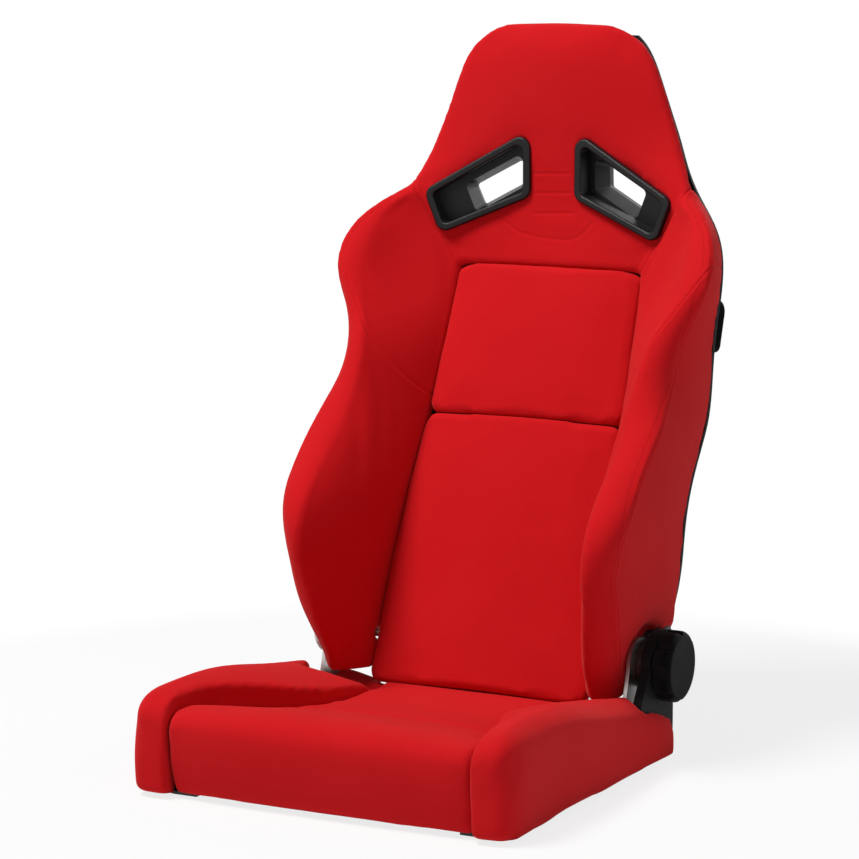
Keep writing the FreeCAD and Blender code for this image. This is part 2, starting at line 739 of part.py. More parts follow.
def makeWingPads():
    wing = makeWing()
    lower = singleSolid(wing.common(wingSeamSpace(False)))
    upper = singleSolid(wing.common(wingSeamSpace(True)).common(neckSpace(True)))
    hub = Part.makeCylinder(float(d.leverPinRadius) + 5, 40, Vector(0, 0, -32))
    hub.Placement = leverPlacement()
    solidPart("back_bolster_left", mirrored(lower))
    solidPart("back_bolster_right", lower)
    solidPart("shoulder_bolster_left", mirrored(upper))
    solidPart("shoulder_bolster_right", singleSolid(upper.cut(hub)))


def backPadWire(s, crown):
    """Level cut of a centre pad in the backrest frame: flat back, rounded sides, crowned face."""
    half = padHalf(s)
    depth = float(d.padDepth)
    edge = float(d.padEdge)
    soft = edge * (1 - math.sqrt(0.5))
    p = [point(-half, depth, s), point(-half, edge, s), point(-half + edge, 0, s),
         point(half - edge, 0, s), point(half, edge, s), point(half, depth, s)]
    return Part.Wire([
        line(p[0], p[1]),
        arc(p[1], point(-half + soft, soft, s), p[2]),
        arc(p[2], point(0, -crown, s), p[3]),
        arc(p[3], point(half - soft, soft, s), p[4]),
        line(p[4], p[5]), line(p[5], p[0]),
    ])


def endEdges(shape, s):
    """Edges of a pad's end face, without the straight one at its back."""
    depth = float(d.padDepth)
    return [edge for edge in shape.Edges
            if abs(edge.BoundBox.ZMin - s) < 0.01 and abs(edge.BoundBox.ZMax - s) < 0.01
            and edge.BoundBox.YMin < depth - 1]


def footRound(radius):
    """What lies outside a cylinder about the hinge axis, below it: the seat and back meet on that arc."""
    below = slab(-300, 300, float(d.hingeY) - 120, float(d.hingeY) + 60, -20, float(d.hingeZ) - 25)
    return below.cut(cylinderX(-301, 301, d.hingeY, d.hingeZ, radius))


def makeBackPad(label, s0, s1, roll):
    """Crowned pad between two heights, rolled over at its top, its foot rounded about the hinge axis."""
    crown = float(d.padCrown)
    shape = loft([backPadWire(s, crown * rise) for s, rise in ((s0, 0.9), ((s0 + s1) / 2, 1.0), (s1, 0.9))])
    if s0 > 0:
        shape = shape.makeFillet(roll, endEdges(shape, s0))
    shape = shape.makeFillet(roll, endEdges(shape, s1))
    room = shaftRoom().fuse(footRound(float(d.footReach)))
    room.Placement = leanPlacement().inverse()
    shape = singleSolid(shape.cut(room))
    item = doc.addObject("Part::Feature", label)
    item.Shape = shape
    item.Placement = leanPlacement()
    return subPart(item, label)


def headWire(station):
    z, half, frontMid, frontEdge, backEdge, backMid = station
    edge = min(12.0, (backEdge - frontEdge) * 0.4)
    soft = edge * 0.3
    p = [point(-half, frontEdge + edge, z), point(-half + edge, frontEdge, z),
         point(half - edge, frontEdge, z), point(half, frontEdge + edge, z),
         point(half - 12, backEdge, z), point(-half + 12, backEdge, z)]
    return Part.Wire([
        arc(p[0], point(-half + soft, frontEdge + soft, z), p[1]),
        arc(p[1], point(0, frontMid, z), p[2]),
        arc(p[2], point(half - soft, frontEdge + soft, z), p[3]),
        line(p[3], p[4]),
        arc(p[4], point(0, backMid, z), p[5]),
        line(p[5], p[0]),
    ])


# Belt guides: outlines lie in the guide's own plane, as (across, up) from its middle

GUIDE = [(-69, 81), (-70, -10), (59, -64), (82, -5)]
GUIDE_REAR = [(-46, 37), (-46, 4), (11, -27), (22, 0)]


def guidePlacement():
    return Placement(point(d.guideX, d.guideY, d.guideZ), Rotation(Vector(0, 0, 1), -float(d.guideTurn)))


def guideWire(corners, inset, radius, depth):
    """Rounded outline inset from a guide's corners, at a depth behind its plane."""
    outline = Part.makePolygon([point(u, depth, v) for u, v in corners + corners[:1]])
    wire = Part.Face(outline).makeOffset2D(-inset, 2).OuterWire if inset else outline
    corners = [vertex.Point for vertex in wire.OrderedVertexes]
    count = len(corners)
    turns = []
    for i, corner in enumerate(corners):
        before = (corners[i - 1] - corner).normalize()
        after = (corners[(i + 1) % count] - corner).normalize()
        half = before.getAngle(after) / 2
        cut = radius / math.tan(half)
        bisector = (before + after).normalize()
        centre = corner + bisector * (radius / math.sin(half))
        turns.append((corner + before * cut, centre - bisector * radius, corner + after * cut))
    edges = []
    for i, (start, middle, end) in enumerate(turns):
        edges += [arc(start, middle, end), line(end, turns[(i + 1) % count][0])]
    return Part.Wire(edges)


def guidePrism(corners, inset, radius, depth0, depth1):
    face = Part.Face(guideWire(corners, float(inset), float(radius), float(depth0)))
    shape = face.extrude(Vector(0, float(depth1) - float(depth0), 0))
    shape.Placement = guidePlacement()
    return shape


def guideFunnel(grow, radius):
    """Space of the rear guide: wide at its step, narrow at its neck, flared again where it leaves the shell."""
    step, taper, flare = float(d.guideStep), float(d.guideTaper), float(d.guideFlare)
    neck = step + float(d.guideNeck)
    first = guideWire(GUIDE_REAR, -grow - taper, radius + taper / 2, step)
    middle = guideWire(GUIDE_REAR, -grow, radius, neck)
    last = guideWire(GUIDE_REAR, -grow - flare, radius + flare / 2, neck + float(d.guideReach))
    front = Part.makeLoft([first, middle], True, True)
    back = Part.makeLoft([middle, last], True, True)
    shape = front.fuse(back)
    shape.Placement = guidePlacement()
    return shape


def makeGuides(envelope, touching, proud):
    rim = float(d.guideRim)
    wall = float(d.guideWall)
    lip = float(d.guideProud)
    step = float(d.guideStep)
    flange = guidePrism(GUIDE, 0, 15, -lip, 4).cut(guidePrism(GUIDE, rim, 8, -lip - 1, 5))
    edges = [edge for edge in flange.Edges if edge.BoundBox.YMin < float(d.guideY) - lip * 0.5 + 12
             and abs((guidePlacement().inverse().multVec(edge.CenterOfMass)).y + lip) < 0.01]
    flange = flange.makeFillet(3.4, edges)
    sleeve = guidePrism(GUIDE, rim - wall, 8 + wall, 3, step).cut(guidePrism(GUIDE, rim, 8, 2, step + 1))
    front = flange.fuse(sleeve).removeSplitter()
    plate = guidePrism(GUIDE, rim - wall, 8 + wall, step + 0.1, step + wall)
    tube = guideFunnel(wall, 7).common(envelope)
    spread = wall + float(d.guideFlare) + 7
    collar = guidePrism(GUIDE_REAR, -spread, 15, step, step + 90).common(proud).cut(touching)
    rear = plate.fuse([tube, collar]).cut(guideFunnel(0, 4.5)).removeSplitter()
    for side, sign in SIDES:
        solidPart("belt_guide_front_" + side, singleSolid(front if sign > 0 else mirrored(front)))
        solidPart("belt_guide_rear_" + side, singleSolid(rear if sign > 0 else mirrored(rear)))


def bothSides(shape):
    return shape.fuse(mirrored(shape))


def makeHeadrest(rods):
    gap = 0.4
    inset = float(d.guideRim - d.guideWall) - gap
    shape = loft([headWire(station) for station in HEAD])
    shape = shape.cut(bothSides(guidePrism(GUIDE, inset, 8 + float(d.guideWall) + gap, -80, 200)))
    shape = shape.cut(bothSides(guidePrism(GUIDE, -gap, 15 + gap, -80, 4 + gap)))
    inside = neckSpace(False)
    shape = shape.common(inside).common(mirrored(inside))
    below = slab(-400, 400, -300, 300, -600, float(d.padTop) + float(d.creaseGap))
    below.Placement = leanPlacement()
    shape = shape.cut(below).cut(rods).cut(shellBand(-float(d.shellThickness) - 0.6, 2.0))
    return solidPart("HeadrestPad", singleSolid(shape), "headrest_pad")


def makeShell(shell):
    hole = float(d.guideWall + d.guideFlare) + 0.5
    shape = shell.cut(bothSides(guidePrism(GUIDE_REAR, -hole, 9, 20, 200)))
    pivot = Part.makeCylinder(float(d.leverPinRadius + d.runningClearance), 40, Vector(0, 0, -20))
    pivot.Placement = leverPlacement()
    shape = shape.cut(pivot)
    return solidPart("BackShell", singleSolid(shape), "back_shell")


# Backrest frame

def makeHoop():
    """Bent tube of the backrest: two legs and a top bar."""
    depth = float(d.frameDepth)
    x = float(d.legX)
    low = float(d.lowerTubeS + d.backTubeRadius) + 0.2
    high = float(d.hoopTopS)
    bend = float(d.hoopBend)
    turn = bend * (1 - math.sqrt(0.5))
    p = [point(-x, depth, low), point(-x, depth, high - bend), point(-x + bend, depth, high),
         point(x - bend, depth, high), point(x, depth, high - bend), point(x, depth, low)]
    path = Part.Wire([
        line(p[0], p[1]),
        arc(p[1], point(-x + turn, depth, high - turn), p[2]),
        line(p[2], p[3]),
        arc(p[3], point(x - turn, depth, high - turn), p[4]),
        line(p[4], p[5]),
    ])
    skins = []
    for radius in (d.backTubeRadius, d.backTubeRadius - d.backTubeWall):
        ring = Part.Wire(Part.Circle(p[0], Vector(0, 0, 1), float(radius)).toShape())
        skins.append(path.makePipeShell([ring], True, False))
    item = doc.addObject("Part::Feature", "BackHoop")
    item.Shape = skins[0].cut(skins[1])
    item.Placement = leanPlacement()
    return subPart(item, "back_frame_hoop")


def headLoop(radius):
    """Small bent rod behind the headrest pad, standing on the hoop's top bar."""
    x = float(d.loopX)
    foot = fromBack(0, d.frameDepth, d.hoopTopS)
    topY, topZ = float(d.loopTopY), float(d.loopTopZ)
    lean = math.atan2(topY - foot.y - 4, topZ - foot.z)
    start = float(d.backTubeRadius) + 0.3
    length = math.hypot(topY - foot.y - 4, topZ - foot.z)
    turn = x * (1 - math.sqrt(0.5))
    p = [point(-x, 4, start), point(-x, 4, length - x), point(0, 4, length), point(x, 4, length - x),
         point(x, 4, start)]
    path = Part.Wire([
        line(p[0], p[1]),
        arc(p[1], point(-x + turn, 4, length - turn), p[2]),
        arc(p[2], point(x - turn, 4, length - turn), p[3]),
        line(p[3], p[4]),
    ])
    ring = Part.Wire(Part.Circle(p[0], Vector(0, 0, 1), radius).toShape())
    shape = path.makePipeShell([ring], True, False)
    shape.Placement = Placement(foot, Rotation(Vector(1, 0, 0), -math.degrees(lean)))
    return shape


def makeBackMat():
    """Spring wires across the hoop and two behind them up its length."""
    radius = float(d.matWireRadius)
    depth = float(d.frameDepth - d.backTubeRadius) + 1
    behind = float(d.frameDepth) - depth - 2 * radius
    reach = float(d.legX) - math.sqrt(float(d.backTubeRadius) ** 2 - behind ** 2)
    first, pitch = float(d.matFirstS), float(d.matPitch)
    wires = []
    for i in range(7):
        start = point(-reach + 0.2, depth + radius, first + pitch * i)
        wires.append(Part.makeCylinder(radius, 2 * reach - 0.4, start, Vector(1, 0, 0)))
    for x in (-float(d.matSideX), float(d.matSideX)):
        start = point(x, depth + 3 * radius + 0.05, first - 12)
        wires.append(Part.makeCylinder(radius, pitch * 6 + 24, start, Vector(0, 0, 1)))
    item = doc.addObject("Part::Feature", "BackMat")
    item.Shape = Part.makeCompound(wires)
    item.Placement = leanPlacement()
    return subPart(item, "back_spring_mat")


# Hinges: sketches lie in the seat's YZ plane with the hinge axis at their origin

def hingeBody(label, x):
    body = newBody(label)
    place(body, x, d.hingeY, d.hingeZ)
    return body


def platePad(body, name, thickness, radius, hole, arms):
    """Round plate about the hinge axis with a hole, fused with straight-sided arms."""
    disc = sketchOn(body, name + "Disc", "YZ_Plane")
    circle(disc, 0, 0, radius)
    pad(body, disc, thickness)
    for i, outline in enumerate(arms):
        arm = sketchOn(body, "%sArm%d" % (name, i), "YZ_Plane")
        polygon(arm, outline)
        pad(body, arm, thickness)
    bore = sketchOn(body, name + "Bore", "YZ_Plane")
    circle(bore, 0, 0, hole)
    pocket(body, bore, thickness + 1, True)


def boltPlaces():
    """Hinge bolts along the rail, as distances from the hinge axis."""
    middle = d.railRearY - d.lowerPlateFoot / 2 - d.hingeY
    return [middle - d.hingeBoltSpan / 2, middle + d.hingeBoltSpan / 2]


def makeLowerPlate(label, sign):
    body = hingeBody(label, sideX(sign, railOuterX, d.lowerPlateThickness))
    radius = d.lowerPlateRadius
    foot = d.lowerPlateFootZ - d.hingeZ
    web = d.railHeight - d.hingeZ
    base = d.railRearY - d.hingeY
    outline = [(-radius, 0), (radius, 0), (radius - 6, 4 - radius), (base + 5, -radius - 12),
               (base + 5, web), (base, web), (base, foot), (base - d.lowerPlateFoot, foot),
               (base - d.lowerPlateFoot, web)]
    platePad(body, label, d.lowerPlateThickness, radius, d.shaftRadius + d.runningClearance, [outline])
    holes = sketchOn(body, label + "BoltHoles", "YZ_Plane")
    for y in boltPlaces():
        circle(holes, y, d.hingeBoltZ - d.hingeZ, d.hingeBoltRadius)
    pocket(body, holes, d.lowerPlateThickness + 1, True)
    return subPart(body, label)


def makeDisc(label, x, thickness, radius, hole):
    body = hingeBody(label, x)
    platePad(body, label, thickness, radius, hole, [])
    return subPart(body, label)


def makeReclinerArm(label, sign):
    """Fixed half of the fold pivot: a plate on the recliner disc with a round boss facing outwards."""
    body = hingeBody(label, sideX(sign, armX, d.armThickness))
    bore = d.eccentricRadius + d.runningClearance
    stop = [(-8, 0), (8, 0), (6, d.armRadius + 5), (-6, d.armRadius + 5)]
    platePad(body, label, d.armThickness, d.armRadius, bore, [stop])
    boss = sketchOn(body, label + "Boss", "YZ_Plane", d.armThickness if sign > 0 else 0)
    circle(boss, 0, 0, d.pivotBossRadius)
    circle(boss, 0, 0, bore)
    pad(body, boss, d.sideGap + d.armThickness, sign < 0)
    return subPart(body, label)


def makeUpperArm(label, sign):
    """Arm of the backrest frame, from the fold pivot to the end of the lower tube."""
    body = hingeBody(label, sideX(sign, upperArmX, d.armThickness))
    tube = fromBack(0, d.frameDepth, d.lowerTubeS)
    dy, dz = tube.y - float(d.hingeY), tube.z - float(d.hingeZ)
    far = math.hypot(dy, dz)
    ny, nz = -dz / far, dy / far
    wide, narrow = float(d.armRadius) - 4, float(d.upperArmTubeRadius)
    outline = [(ny * wide, nz * wide), (dy + ny * narrow, dz + nz * narrow),
               (dy * 1.3 + ny * 9, dz * 1.3 + nz * 9), (dy * 1.3 - ny * 9, dz * 1.3 - nz * 9),
               (dy - ny * narrow, dz - nz * narrow), (-ny * wide, -nz * wide)]
    platePad(body, label, d.armThickness, d.armRadius - 4, d.pivotBossRadius + d.runningClearance, [outline])
    return subPart(body, label)


def makeHingeBolts():
    """Hexagon-head bolts that hold the lower plates to the rails."""
    bolts = []
    for side, sign in SIDES:
        for i, y in enumerate(boltPlaces()):
            name = "HingeBolt%s%d" % (side, i)
            head = doc.addObject("Part::Prism", name + "Head")
            head.Polygon = 6
            bind(head, Circumradius=d.hingeBoltRadius * 1.75, Height=d.hingeBoltHead)
            shank = doc.addObject("Part::Cylinder", name + "Shank")
            bind(shank, Radius=d.hingeBoltRadius, Height=d.lowerPlateThickness)
            shank.setExpression("Placement.Base.z", (-d.lowerPlateThickness).text)
            bolt = doc.addObject("Part::Fuse", name)
            bolt.Base = head
            bolt.Tool = shank
            bolt.Placement = Placement(Vector(0, 0, 0), Rotation(Vector(0, 1, 0), 90 * sign))
            place(bolt, sign * housingX, d.hingeY + y, d.hingeBoltZ)
            bolts.append(bolt)
    group = doc.addObject("Part::Compound", "HingeBolts")
    group.Links = bolts
    return subPart(group, "hinge_bolts")


def coverOutline(grow):
    """Side view of the hinge cover: a round head over a straight foot."""
    y, z = float(d.hingeY), float(d.hingeZ)
    radius = float(d.coverRadius) + grow
    front, rear = float(d.coverFrontY) - grow, float(d.coverRearY) + grow
    foot = float(d.coverFootZ) - grow
    end = (rear, z + math.sqrt(radius * radius - (rear - y) ** 2))
    a = point(0, front, foot)
    b = point(0, front, z - 40)
    c = point(0, y - radius, z)
    e = point(0, end[0], end[1])
    g = point(0, rear, foot)
    return Part.Wire([line(a, b), line(b, c), arc(c, point(0, y, z + radius), e), line(e, g), line(g, a)])


def makeHingeCover():
    """Moulded shell over the right hinge, open towards the seat, with a foot screwed to the lower plate."""
    outer = float(d.coverOuterX)
    inner = float(upperArmOuterX) + 1
    wall = float(d.coverWall)
    shell = Part.Face(coverOutline(0)).extrude(Vector(outer - inner, 0, 0))
    shell.translate(Vector(inner, 0, 0))
    room = Part.Face(coverOutline(-wall)).extrude(Vector(outer - wall - inner + 1, 0, 0))
    room.translate(Vector(inner - 1, 0, 0))
    shape = shell.cut(room)
    rear = float(d.railRearY)
    foot = slab(housingX, inner + 1, rear - 70, rear - 48, d.coverFootZ + 14, d.coverFootZ + 24)
    shape = shape.fuse(foot.fuse(slab(inner, outer - 1, rear - 70, rear - 48, d.coverFootZ + 14,
                                      d.coverFootZ + 24)))
    bore = cylinderX(inner - 5, outer + 5, d.hingeY, d.hingeZ, float(d.shaftRadius) + 2)
    return solidPart("HingeCover", singleSolid(shape.cut(bore).removeSplitter()), "hinge_cover_right")


def makeShaft():
    """Rod on the hinge axis that turns both recliners together."""
    body = newBody("CrossShaft")
    section = sketchOn(body, "CrossShaftSection", "YZ_Plane", -(upperArmOuterX + 5))
    circle(section, 0, 0, d.shaftRadius)
    pad(body, section, upperArmOuterX + 5 + knobX + d.knobThickness - 5)
    place(body, 0, d.hingeY, d.hingeZ)
    return subPart(body, "recliner_cross_shaft")


def makeKnob():
    """Fluted hand knob with a domed face and a socket for the shaft."""
    body = hingeBody("ReclineKnob", knobX)
    disc = sketchOn(body, "KnobDisc", "YZ_Plane")
    circle(disc, 0, 0, d.knobRadius)
    grip = pad(body, disc, d.knobThickness)
    rims = [(grip, ["Edge%d" % (i + 1)]) for i, e in enumerate(grip.Shape.Edges)
            if abs(e.CenterOfMass.x - d.knobThickness.value) < 0.01]
    rounding = body.newObject("PartDesign::Fillet", "KnobRounding")
    rounding.Base = rims[0]
    bind(rounding, Radius=d.knobThickness / 3)
    doc.recompute()
    flute = sketchOn(body, "KnobFlute", "YZ_Plane")
    circle(flute, d.knobRadius + d.knobFlute * 0.45, 0, d.knobFlute)
    cut = pocket(body, flute, d.knobThickness + 1, True)
    ring = body.newObject("PartDesign::PolarPattern", "KnobFlutes")
    ring.Originals = [cut]
    ring.Axis = ([f for f in body.Origin.OriginFeatures if f.Role == "X_Axis"][0], [""])
    ring.Angle = 360
    bind(ring, Occurrences=d.knobFlutes)
    body.Tip = ring
    doc.recompute()
    socket = sketchOn(body, "KnobSocket", "YZ_Plane")
    circle(socket, 0, 0, d.shaftRadius)
    pocket(body, socket, d.knobThickness - 5, True)
    return subPart(body, "recline_knob")


def makeShaftRings():
    """Eccentric bushes on the shaft inside each recliner, and the clip ring at its free end."""
    for side, sign in SIDES:
        length = armX + d.armThickness - housingX
        makeDisc("recliner_bush_" + side, sideX(sign, housingX + d.sideGap / 2, length), length,
                 d.eccentricRadius, d.shaftRadius)
    makeDisc("shaft_retaining_ring", -(upperArmOuterX + 4), 1.5, d.shaftRadius + 4, d.shaftRadius)


def makeHinges():
    for side, sign in SIDES:
        makeLowerPlate("hinge_lower_plate_" + side, sign)
        bore = d.eccentricRadius + d.runningClearance
        makeDisc("recliner_housing_" + side, sideX(sign, housingX, d.gearHousingThickness),
                 d.gearHousingThickness, d.gearDiscRadius, bore)
        makeDisc("recliner_gear_disc_" + side, sideX(sign, discX, d.gearDiscThickness),
                 d.gearDiscThickness, d.gearDiscRadius - 1, bore)
        makeReclinerArm("recliner_arm_" + side, sign)
        makeUpperArm("upper_arm_" + side, sign)
    makeHingeBolts()
    makeHingeCover()
    makeShaft()
    makeKnob()
    makeShaftRings()


# Tilt lever on the edge of the back shell

def shellPoint(share, z):
    """Point of the shell's outer face at a height, share of the way from its middle to its edge."""
    for low, high in zip(SHELL, SHELL[1:]):
        if low[0] <= z <= high[0]:
            t = (z - low[0]) / (high[0] - low[0])
            station = [a + (b - a) * t for a, b in zip(low, high)]
            x = station[1] * share
            return point(x, shellY(station, x), z)
    raise ValueError("no shell at height %s" % z)


def leverPlacement():
    """Lever frame: Z out of the shell, Y up along it, origin where the pivot leaves the shell."""
    share, z = float(d.leverShare), float(d.leverZ)
    origin = shellPoint(share, z)
    up = (shellPoint(share, z + 20) - shellPoint(share, z - 40)).normalize()
    across = (shellPoint(share + 0.03, z) - shellPoint(share - 0.03, z)).normalize()
    out = up.cross(across).normalize()
    out = out if out.x > 0 else -out
    side = up.cross(out)
    matrix = FreeCAD.Matrix(side.x, up.x, out.x, origin.x, side.y, up.y, out.y, origin.y,
                            side.z, up.z, out.z, origin.z, 0, 0, 0, 1)
    return Placement(matrix)


def makeLever():
    """Oval paddle with rounded rims on a short pivot, held inside by a collar."""
    length, width = float(d.leverLength), float(d.leverWidth)
    thick = float(d.leverThickness)
    lift = float(d.leverLift)
    half = width / 2
    top = half * 0.9
    low = top + width - length
    outline = Part.Wire([
        arc(point(-half, top, lift), point(0, top + half, lift), point(half, top, lift)),
        line(point(half, top, lift), point(half, low, lift)),
        arc(point(half, low, lift), point(0, low - half, lift), point(-half, low, lift)),
        line(point(-half, low, lift), point(-half, top, lift)),
    ])
    paddle = Part.Face(outline).extrude(Vector(0, 0, thick))
    rim = [edge for edge in paddle.Edges if abs(edge.CenterOfMass.z - lift - thick) < 0.01]
    paddle = paddle.makeFillet(4.0, rim)
    pin = Part.makeCylinder(float(d.leverPinRadius), lift + 14, Vector(0, 0, -14))
    collar = Part.makeCylinder(float(d.leverPinRadius) + 3, 3, Vector(0, 0, -14))
    shape = paddle.fuse([pin, collar]).removeSplitter()
    shape.Placement = leverPlacement()
    return solidPart("TiltLever", shape, "tilt_lever")


# Assembly

for side, sign in SIDES:
    makeRail("base_rail_" + side, sign)
makeNuts()
for label, y in (("base_front_tube", d.frontTubeY), ("base_rear_tube", d.rearTubeY)):
    place(makeTube(label, d.crossTubeRadius, d.crossTubeWall, -railInnerX, railInnerX), 0, y, d.crossTubeZ)
makePlateOnRails("thigh_support_pan", d.panFrontY, d.panRearY)
makePlateOnRails("spring_bar", d.springBarFrontY, d.springBarRearY)
makeSprings()
makeSpringClips()
makeCushionPad()
for side, sign in SIDES:
    makeCushionBolster("cushion_bolster_" + side, sign)
makeHinges()
lowerTube = makeTube("back_frame_lower_tube", d.backTubeRadius, d.backTubeWall, -upperArmX, upperArmX)
bindLean(lowerTube)
lowerTube.setExpression("Placement.Base.y", "%s + %s * sin(%s) + %s * cos(%s)" % (
    d.backFootY.text, d.lowerTubeS.text, d.backLean.text, d.frameDepth.text, d.backLean.text))
lowerTube.setExpression("Placement.Base.z", "%s + %s * cos(%s) - %s * sin(%s)" % (
    d.backFootZ.text, d.lowerTubeS.text, d.backLean.text, d.frameDepth.text, d.backLean.text))
makeHoop()
solidPart("HeadLoop", headLoop(float(d.loopRadius)), "headrest_support")
makeBackMat()
makeBackPad("back_pad_lower", -8.0, float(d.padCrease - d.creaseGap / 2), 7.0)
makeBackPad("back_pad_upper", float(d.padCrease + d.creaseGap / 2), float(d.padTop), 6.0)
makeWingPads()
makeHeadrest(headLoop(float(d.loopRadius) + 1.0))
makeShell(shellBand(-float(d.shellThickness), 0.0))
makeGuides(shellEnvelope(0.2), shellEnvelope(0.1), shellEnvelope(float(d.guideLip)))
makeLever()

doc.recompute()
for item in doc.Objects:
    if "Invalid" in item.State or "Error" in item.State:
        raise RuntimeError("%s failed: %s" % (item.Name, item.State))
for item in parts:
    if item.Shape.isNull() or not item.Shape.isValid():
        raise RuntimeError("%s has no valid shape" % item.Label)
    print("%-28s solids %2d  volume %9.0f mm3" % (item.Label, len(item.Shape.Solids), item.Shape.Volume))
for item in parts:
    item.Shape.exportStep(os.path.join("parts", item.Label + ".step"))
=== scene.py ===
import json
import math

import bmesh
import bpy
import numpy as np
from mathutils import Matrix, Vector
from mathutils.bvhtree import BVHTree
from mathutils.kdtree import KDTree


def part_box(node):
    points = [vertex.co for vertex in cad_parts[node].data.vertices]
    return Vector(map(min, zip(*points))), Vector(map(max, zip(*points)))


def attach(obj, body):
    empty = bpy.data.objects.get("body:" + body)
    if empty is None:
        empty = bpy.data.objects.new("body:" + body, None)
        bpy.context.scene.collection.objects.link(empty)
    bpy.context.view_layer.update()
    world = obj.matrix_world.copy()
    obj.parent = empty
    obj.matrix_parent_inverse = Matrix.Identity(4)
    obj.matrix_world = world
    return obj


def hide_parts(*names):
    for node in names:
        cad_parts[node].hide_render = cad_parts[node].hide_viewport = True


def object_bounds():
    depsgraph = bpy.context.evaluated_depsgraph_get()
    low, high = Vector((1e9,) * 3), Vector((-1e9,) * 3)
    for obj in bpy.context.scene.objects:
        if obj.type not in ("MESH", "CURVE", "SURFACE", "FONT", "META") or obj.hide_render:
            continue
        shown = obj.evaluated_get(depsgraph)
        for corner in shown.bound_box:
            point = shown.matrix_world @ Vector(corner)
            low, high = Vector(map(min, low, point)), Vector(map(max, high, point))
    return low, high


# Reclining sports seat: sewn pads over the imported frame, shell and hinges. Metres, +Z up, facing -Y.

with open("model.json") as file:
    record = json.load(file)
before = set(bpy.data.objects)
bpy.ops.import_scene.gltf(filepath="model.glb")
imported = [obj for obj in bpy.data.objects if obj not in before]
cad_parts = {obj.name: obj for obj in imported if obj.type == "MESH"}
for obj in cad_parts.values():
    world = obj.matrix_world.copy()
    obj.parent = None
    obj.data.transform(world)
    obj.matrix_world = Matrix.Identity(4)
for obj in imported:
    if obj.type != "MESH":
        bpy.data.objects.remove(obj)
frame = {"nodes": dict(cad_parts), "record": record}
nodes = frame["nodes"]
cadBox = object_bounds()
print("frame:", len(nodes), "nodes")

mm = 0.001
rng = np.random.default_rng(11)


# Materials: three shared effects, then one function for each kind of finish.

def newMaterial(name):
    material = bpy.data.materials.new(name)
    material.use_nodes = True
    tree = material.node_tree
    return material, tree, tree.nodes["Principled BSDF"]


def newGroup(name, inputs, outputs):
    group = bpy.data.node_groups.new(name, "ShaderNodeTree")
    for label, value in inputs:
        socket = group.interface.new_socket(label, in_out="INPUT", socket_type="NodeSocketFloat")
        socket.default_value = value
    for label in outputs:
        group.interface.new_socket(label, in_out="OUTPUT", socket_type="NodeSocketFloat")
    return group, group.nodes.new("NodeGroupInput"), group.nodes.new("NodeGroupOutput")


def mathNode(tree, operation, a, b=None, clamp=False):
    node = tree.nodes.new("ShaderNodeMath")
    node.operation = operation
    node.use_clamp = clamp
    for socket, value in zip(node.inputs, (a, b)):
        if value is None:
            continue
        if isinstance(value, (int, float)):
            socket.default_value = value
        else:
            tree.links.new(value, socket)
    return node.outputs[0]


def noiseNode(tree, vector, scale, detail, roughness=0.5):
    node = tree.nodes.new("ShaderNodeTexNoise")
    node.inputs["Detail"].default_value = detail
    node.inputs["Roughness"].default_value = roughness
    if isinstance(scale, (int, float)):
        node.inputs["Scale"].default_value = scale
    else:
        tree.links.new(scale, node.inputs["Scale"])
    tree.links.new(vector, node.inputs["Vector"])
    return node.outputs["Fac"]


knit = {"sharpness": 3.0, "twill": 4.443, "fuzzScale": 1900.0, "napScale": 7.0}  # twill is pi times root two


def knitGroup():
    # Fine knit seen from each of the three axes, mixed by the way the cloth faces.
    group, given, out = newGroup("clothKnit", [("Pitch", 700.0), ("Fuzz", 0.35)], ["Height", "Shade", "Nap"])
    place = group.nodes.new("ShaderNodeTexCoord")
    split = group.nodes.new("ShaderNodeSeparateXYZ")
    group.links.new(place.outputs["Object"], split.inputs[0])
    facing = group.nodes.new("ShaderNodeSeparateXYZ")
    group.links.new(place.outputs["Normal"], facing.inputs[0])
    axes = [split.outputs[i] for i in range(3)]
    turned = [mathNode(group, "ABSOLUTE", facing.outputs[i]) for i in range(3)]
    weights = [mathNode(group, "POWER", part, knit["sharpness"]) for part in turned]
    total = mathNode(group, "ADD", mathNode(group, "ADD", weights[0], weights[1]), weights[2])
    rows = None
    for i, (a, b) in enumerate(((1, 2), (0, 2), (0, 1))):
        along = mathNode(group, "MULTIPLY", axes[a], given.outputs["Pitch"])
        up = mathNode(group, "MULTIPLY", axes[b], given.outputs["Pitch"])
        rise = mathNode(group, "MULTIPLY", mathNode(group, "ADD", along, up), knit["twill"])
        fall = mathNode(group, "MULTIPLY", mathNode(group, "SUBTRACT", along, up), knit["twill"])
        one, two = mathNode(group, "SINE", rise), mathNode(group, "SINE", fall)
        loop = mathNode(group, "MULTIPLY", mathNode(group, "MULTIPLY", one, two), weights[i])
        rows = loop if rows is None else mathNode(group, "ADD", rows, loop)
    rows = mathNode(group, "DIVIDE", rows, total)
    fuzz = noiseNode(group, place.outputs["Object"], knit["fuzzScale"], 2.0, 0.6)
    fuzz = mathNode(group, "MULTIPLY", mathNode(group, "SUBTRACT", fuzz, 0.5), given.outputs["Fuzz"])
    height = mathNode(group, "ADD", mathNode(group, "MULTIPLY", rows, 0.5), fuzz)
    shade = mathNode(group, "ADD", mathNode(group, "MULTIPLY", height, 0.5), 0.5, True)
    nap = noiseNode(group, place.outputs["Object"], knit["napScale"], 3.0, 0.55)
    group.links.new(mathNode(group, "ADD", height, 0.5), out.inputs["Height"])
    group.links.new(shade, out.inputs["Shade"])
    group.links.new(nap, out.inputs["Nap"])
    return group


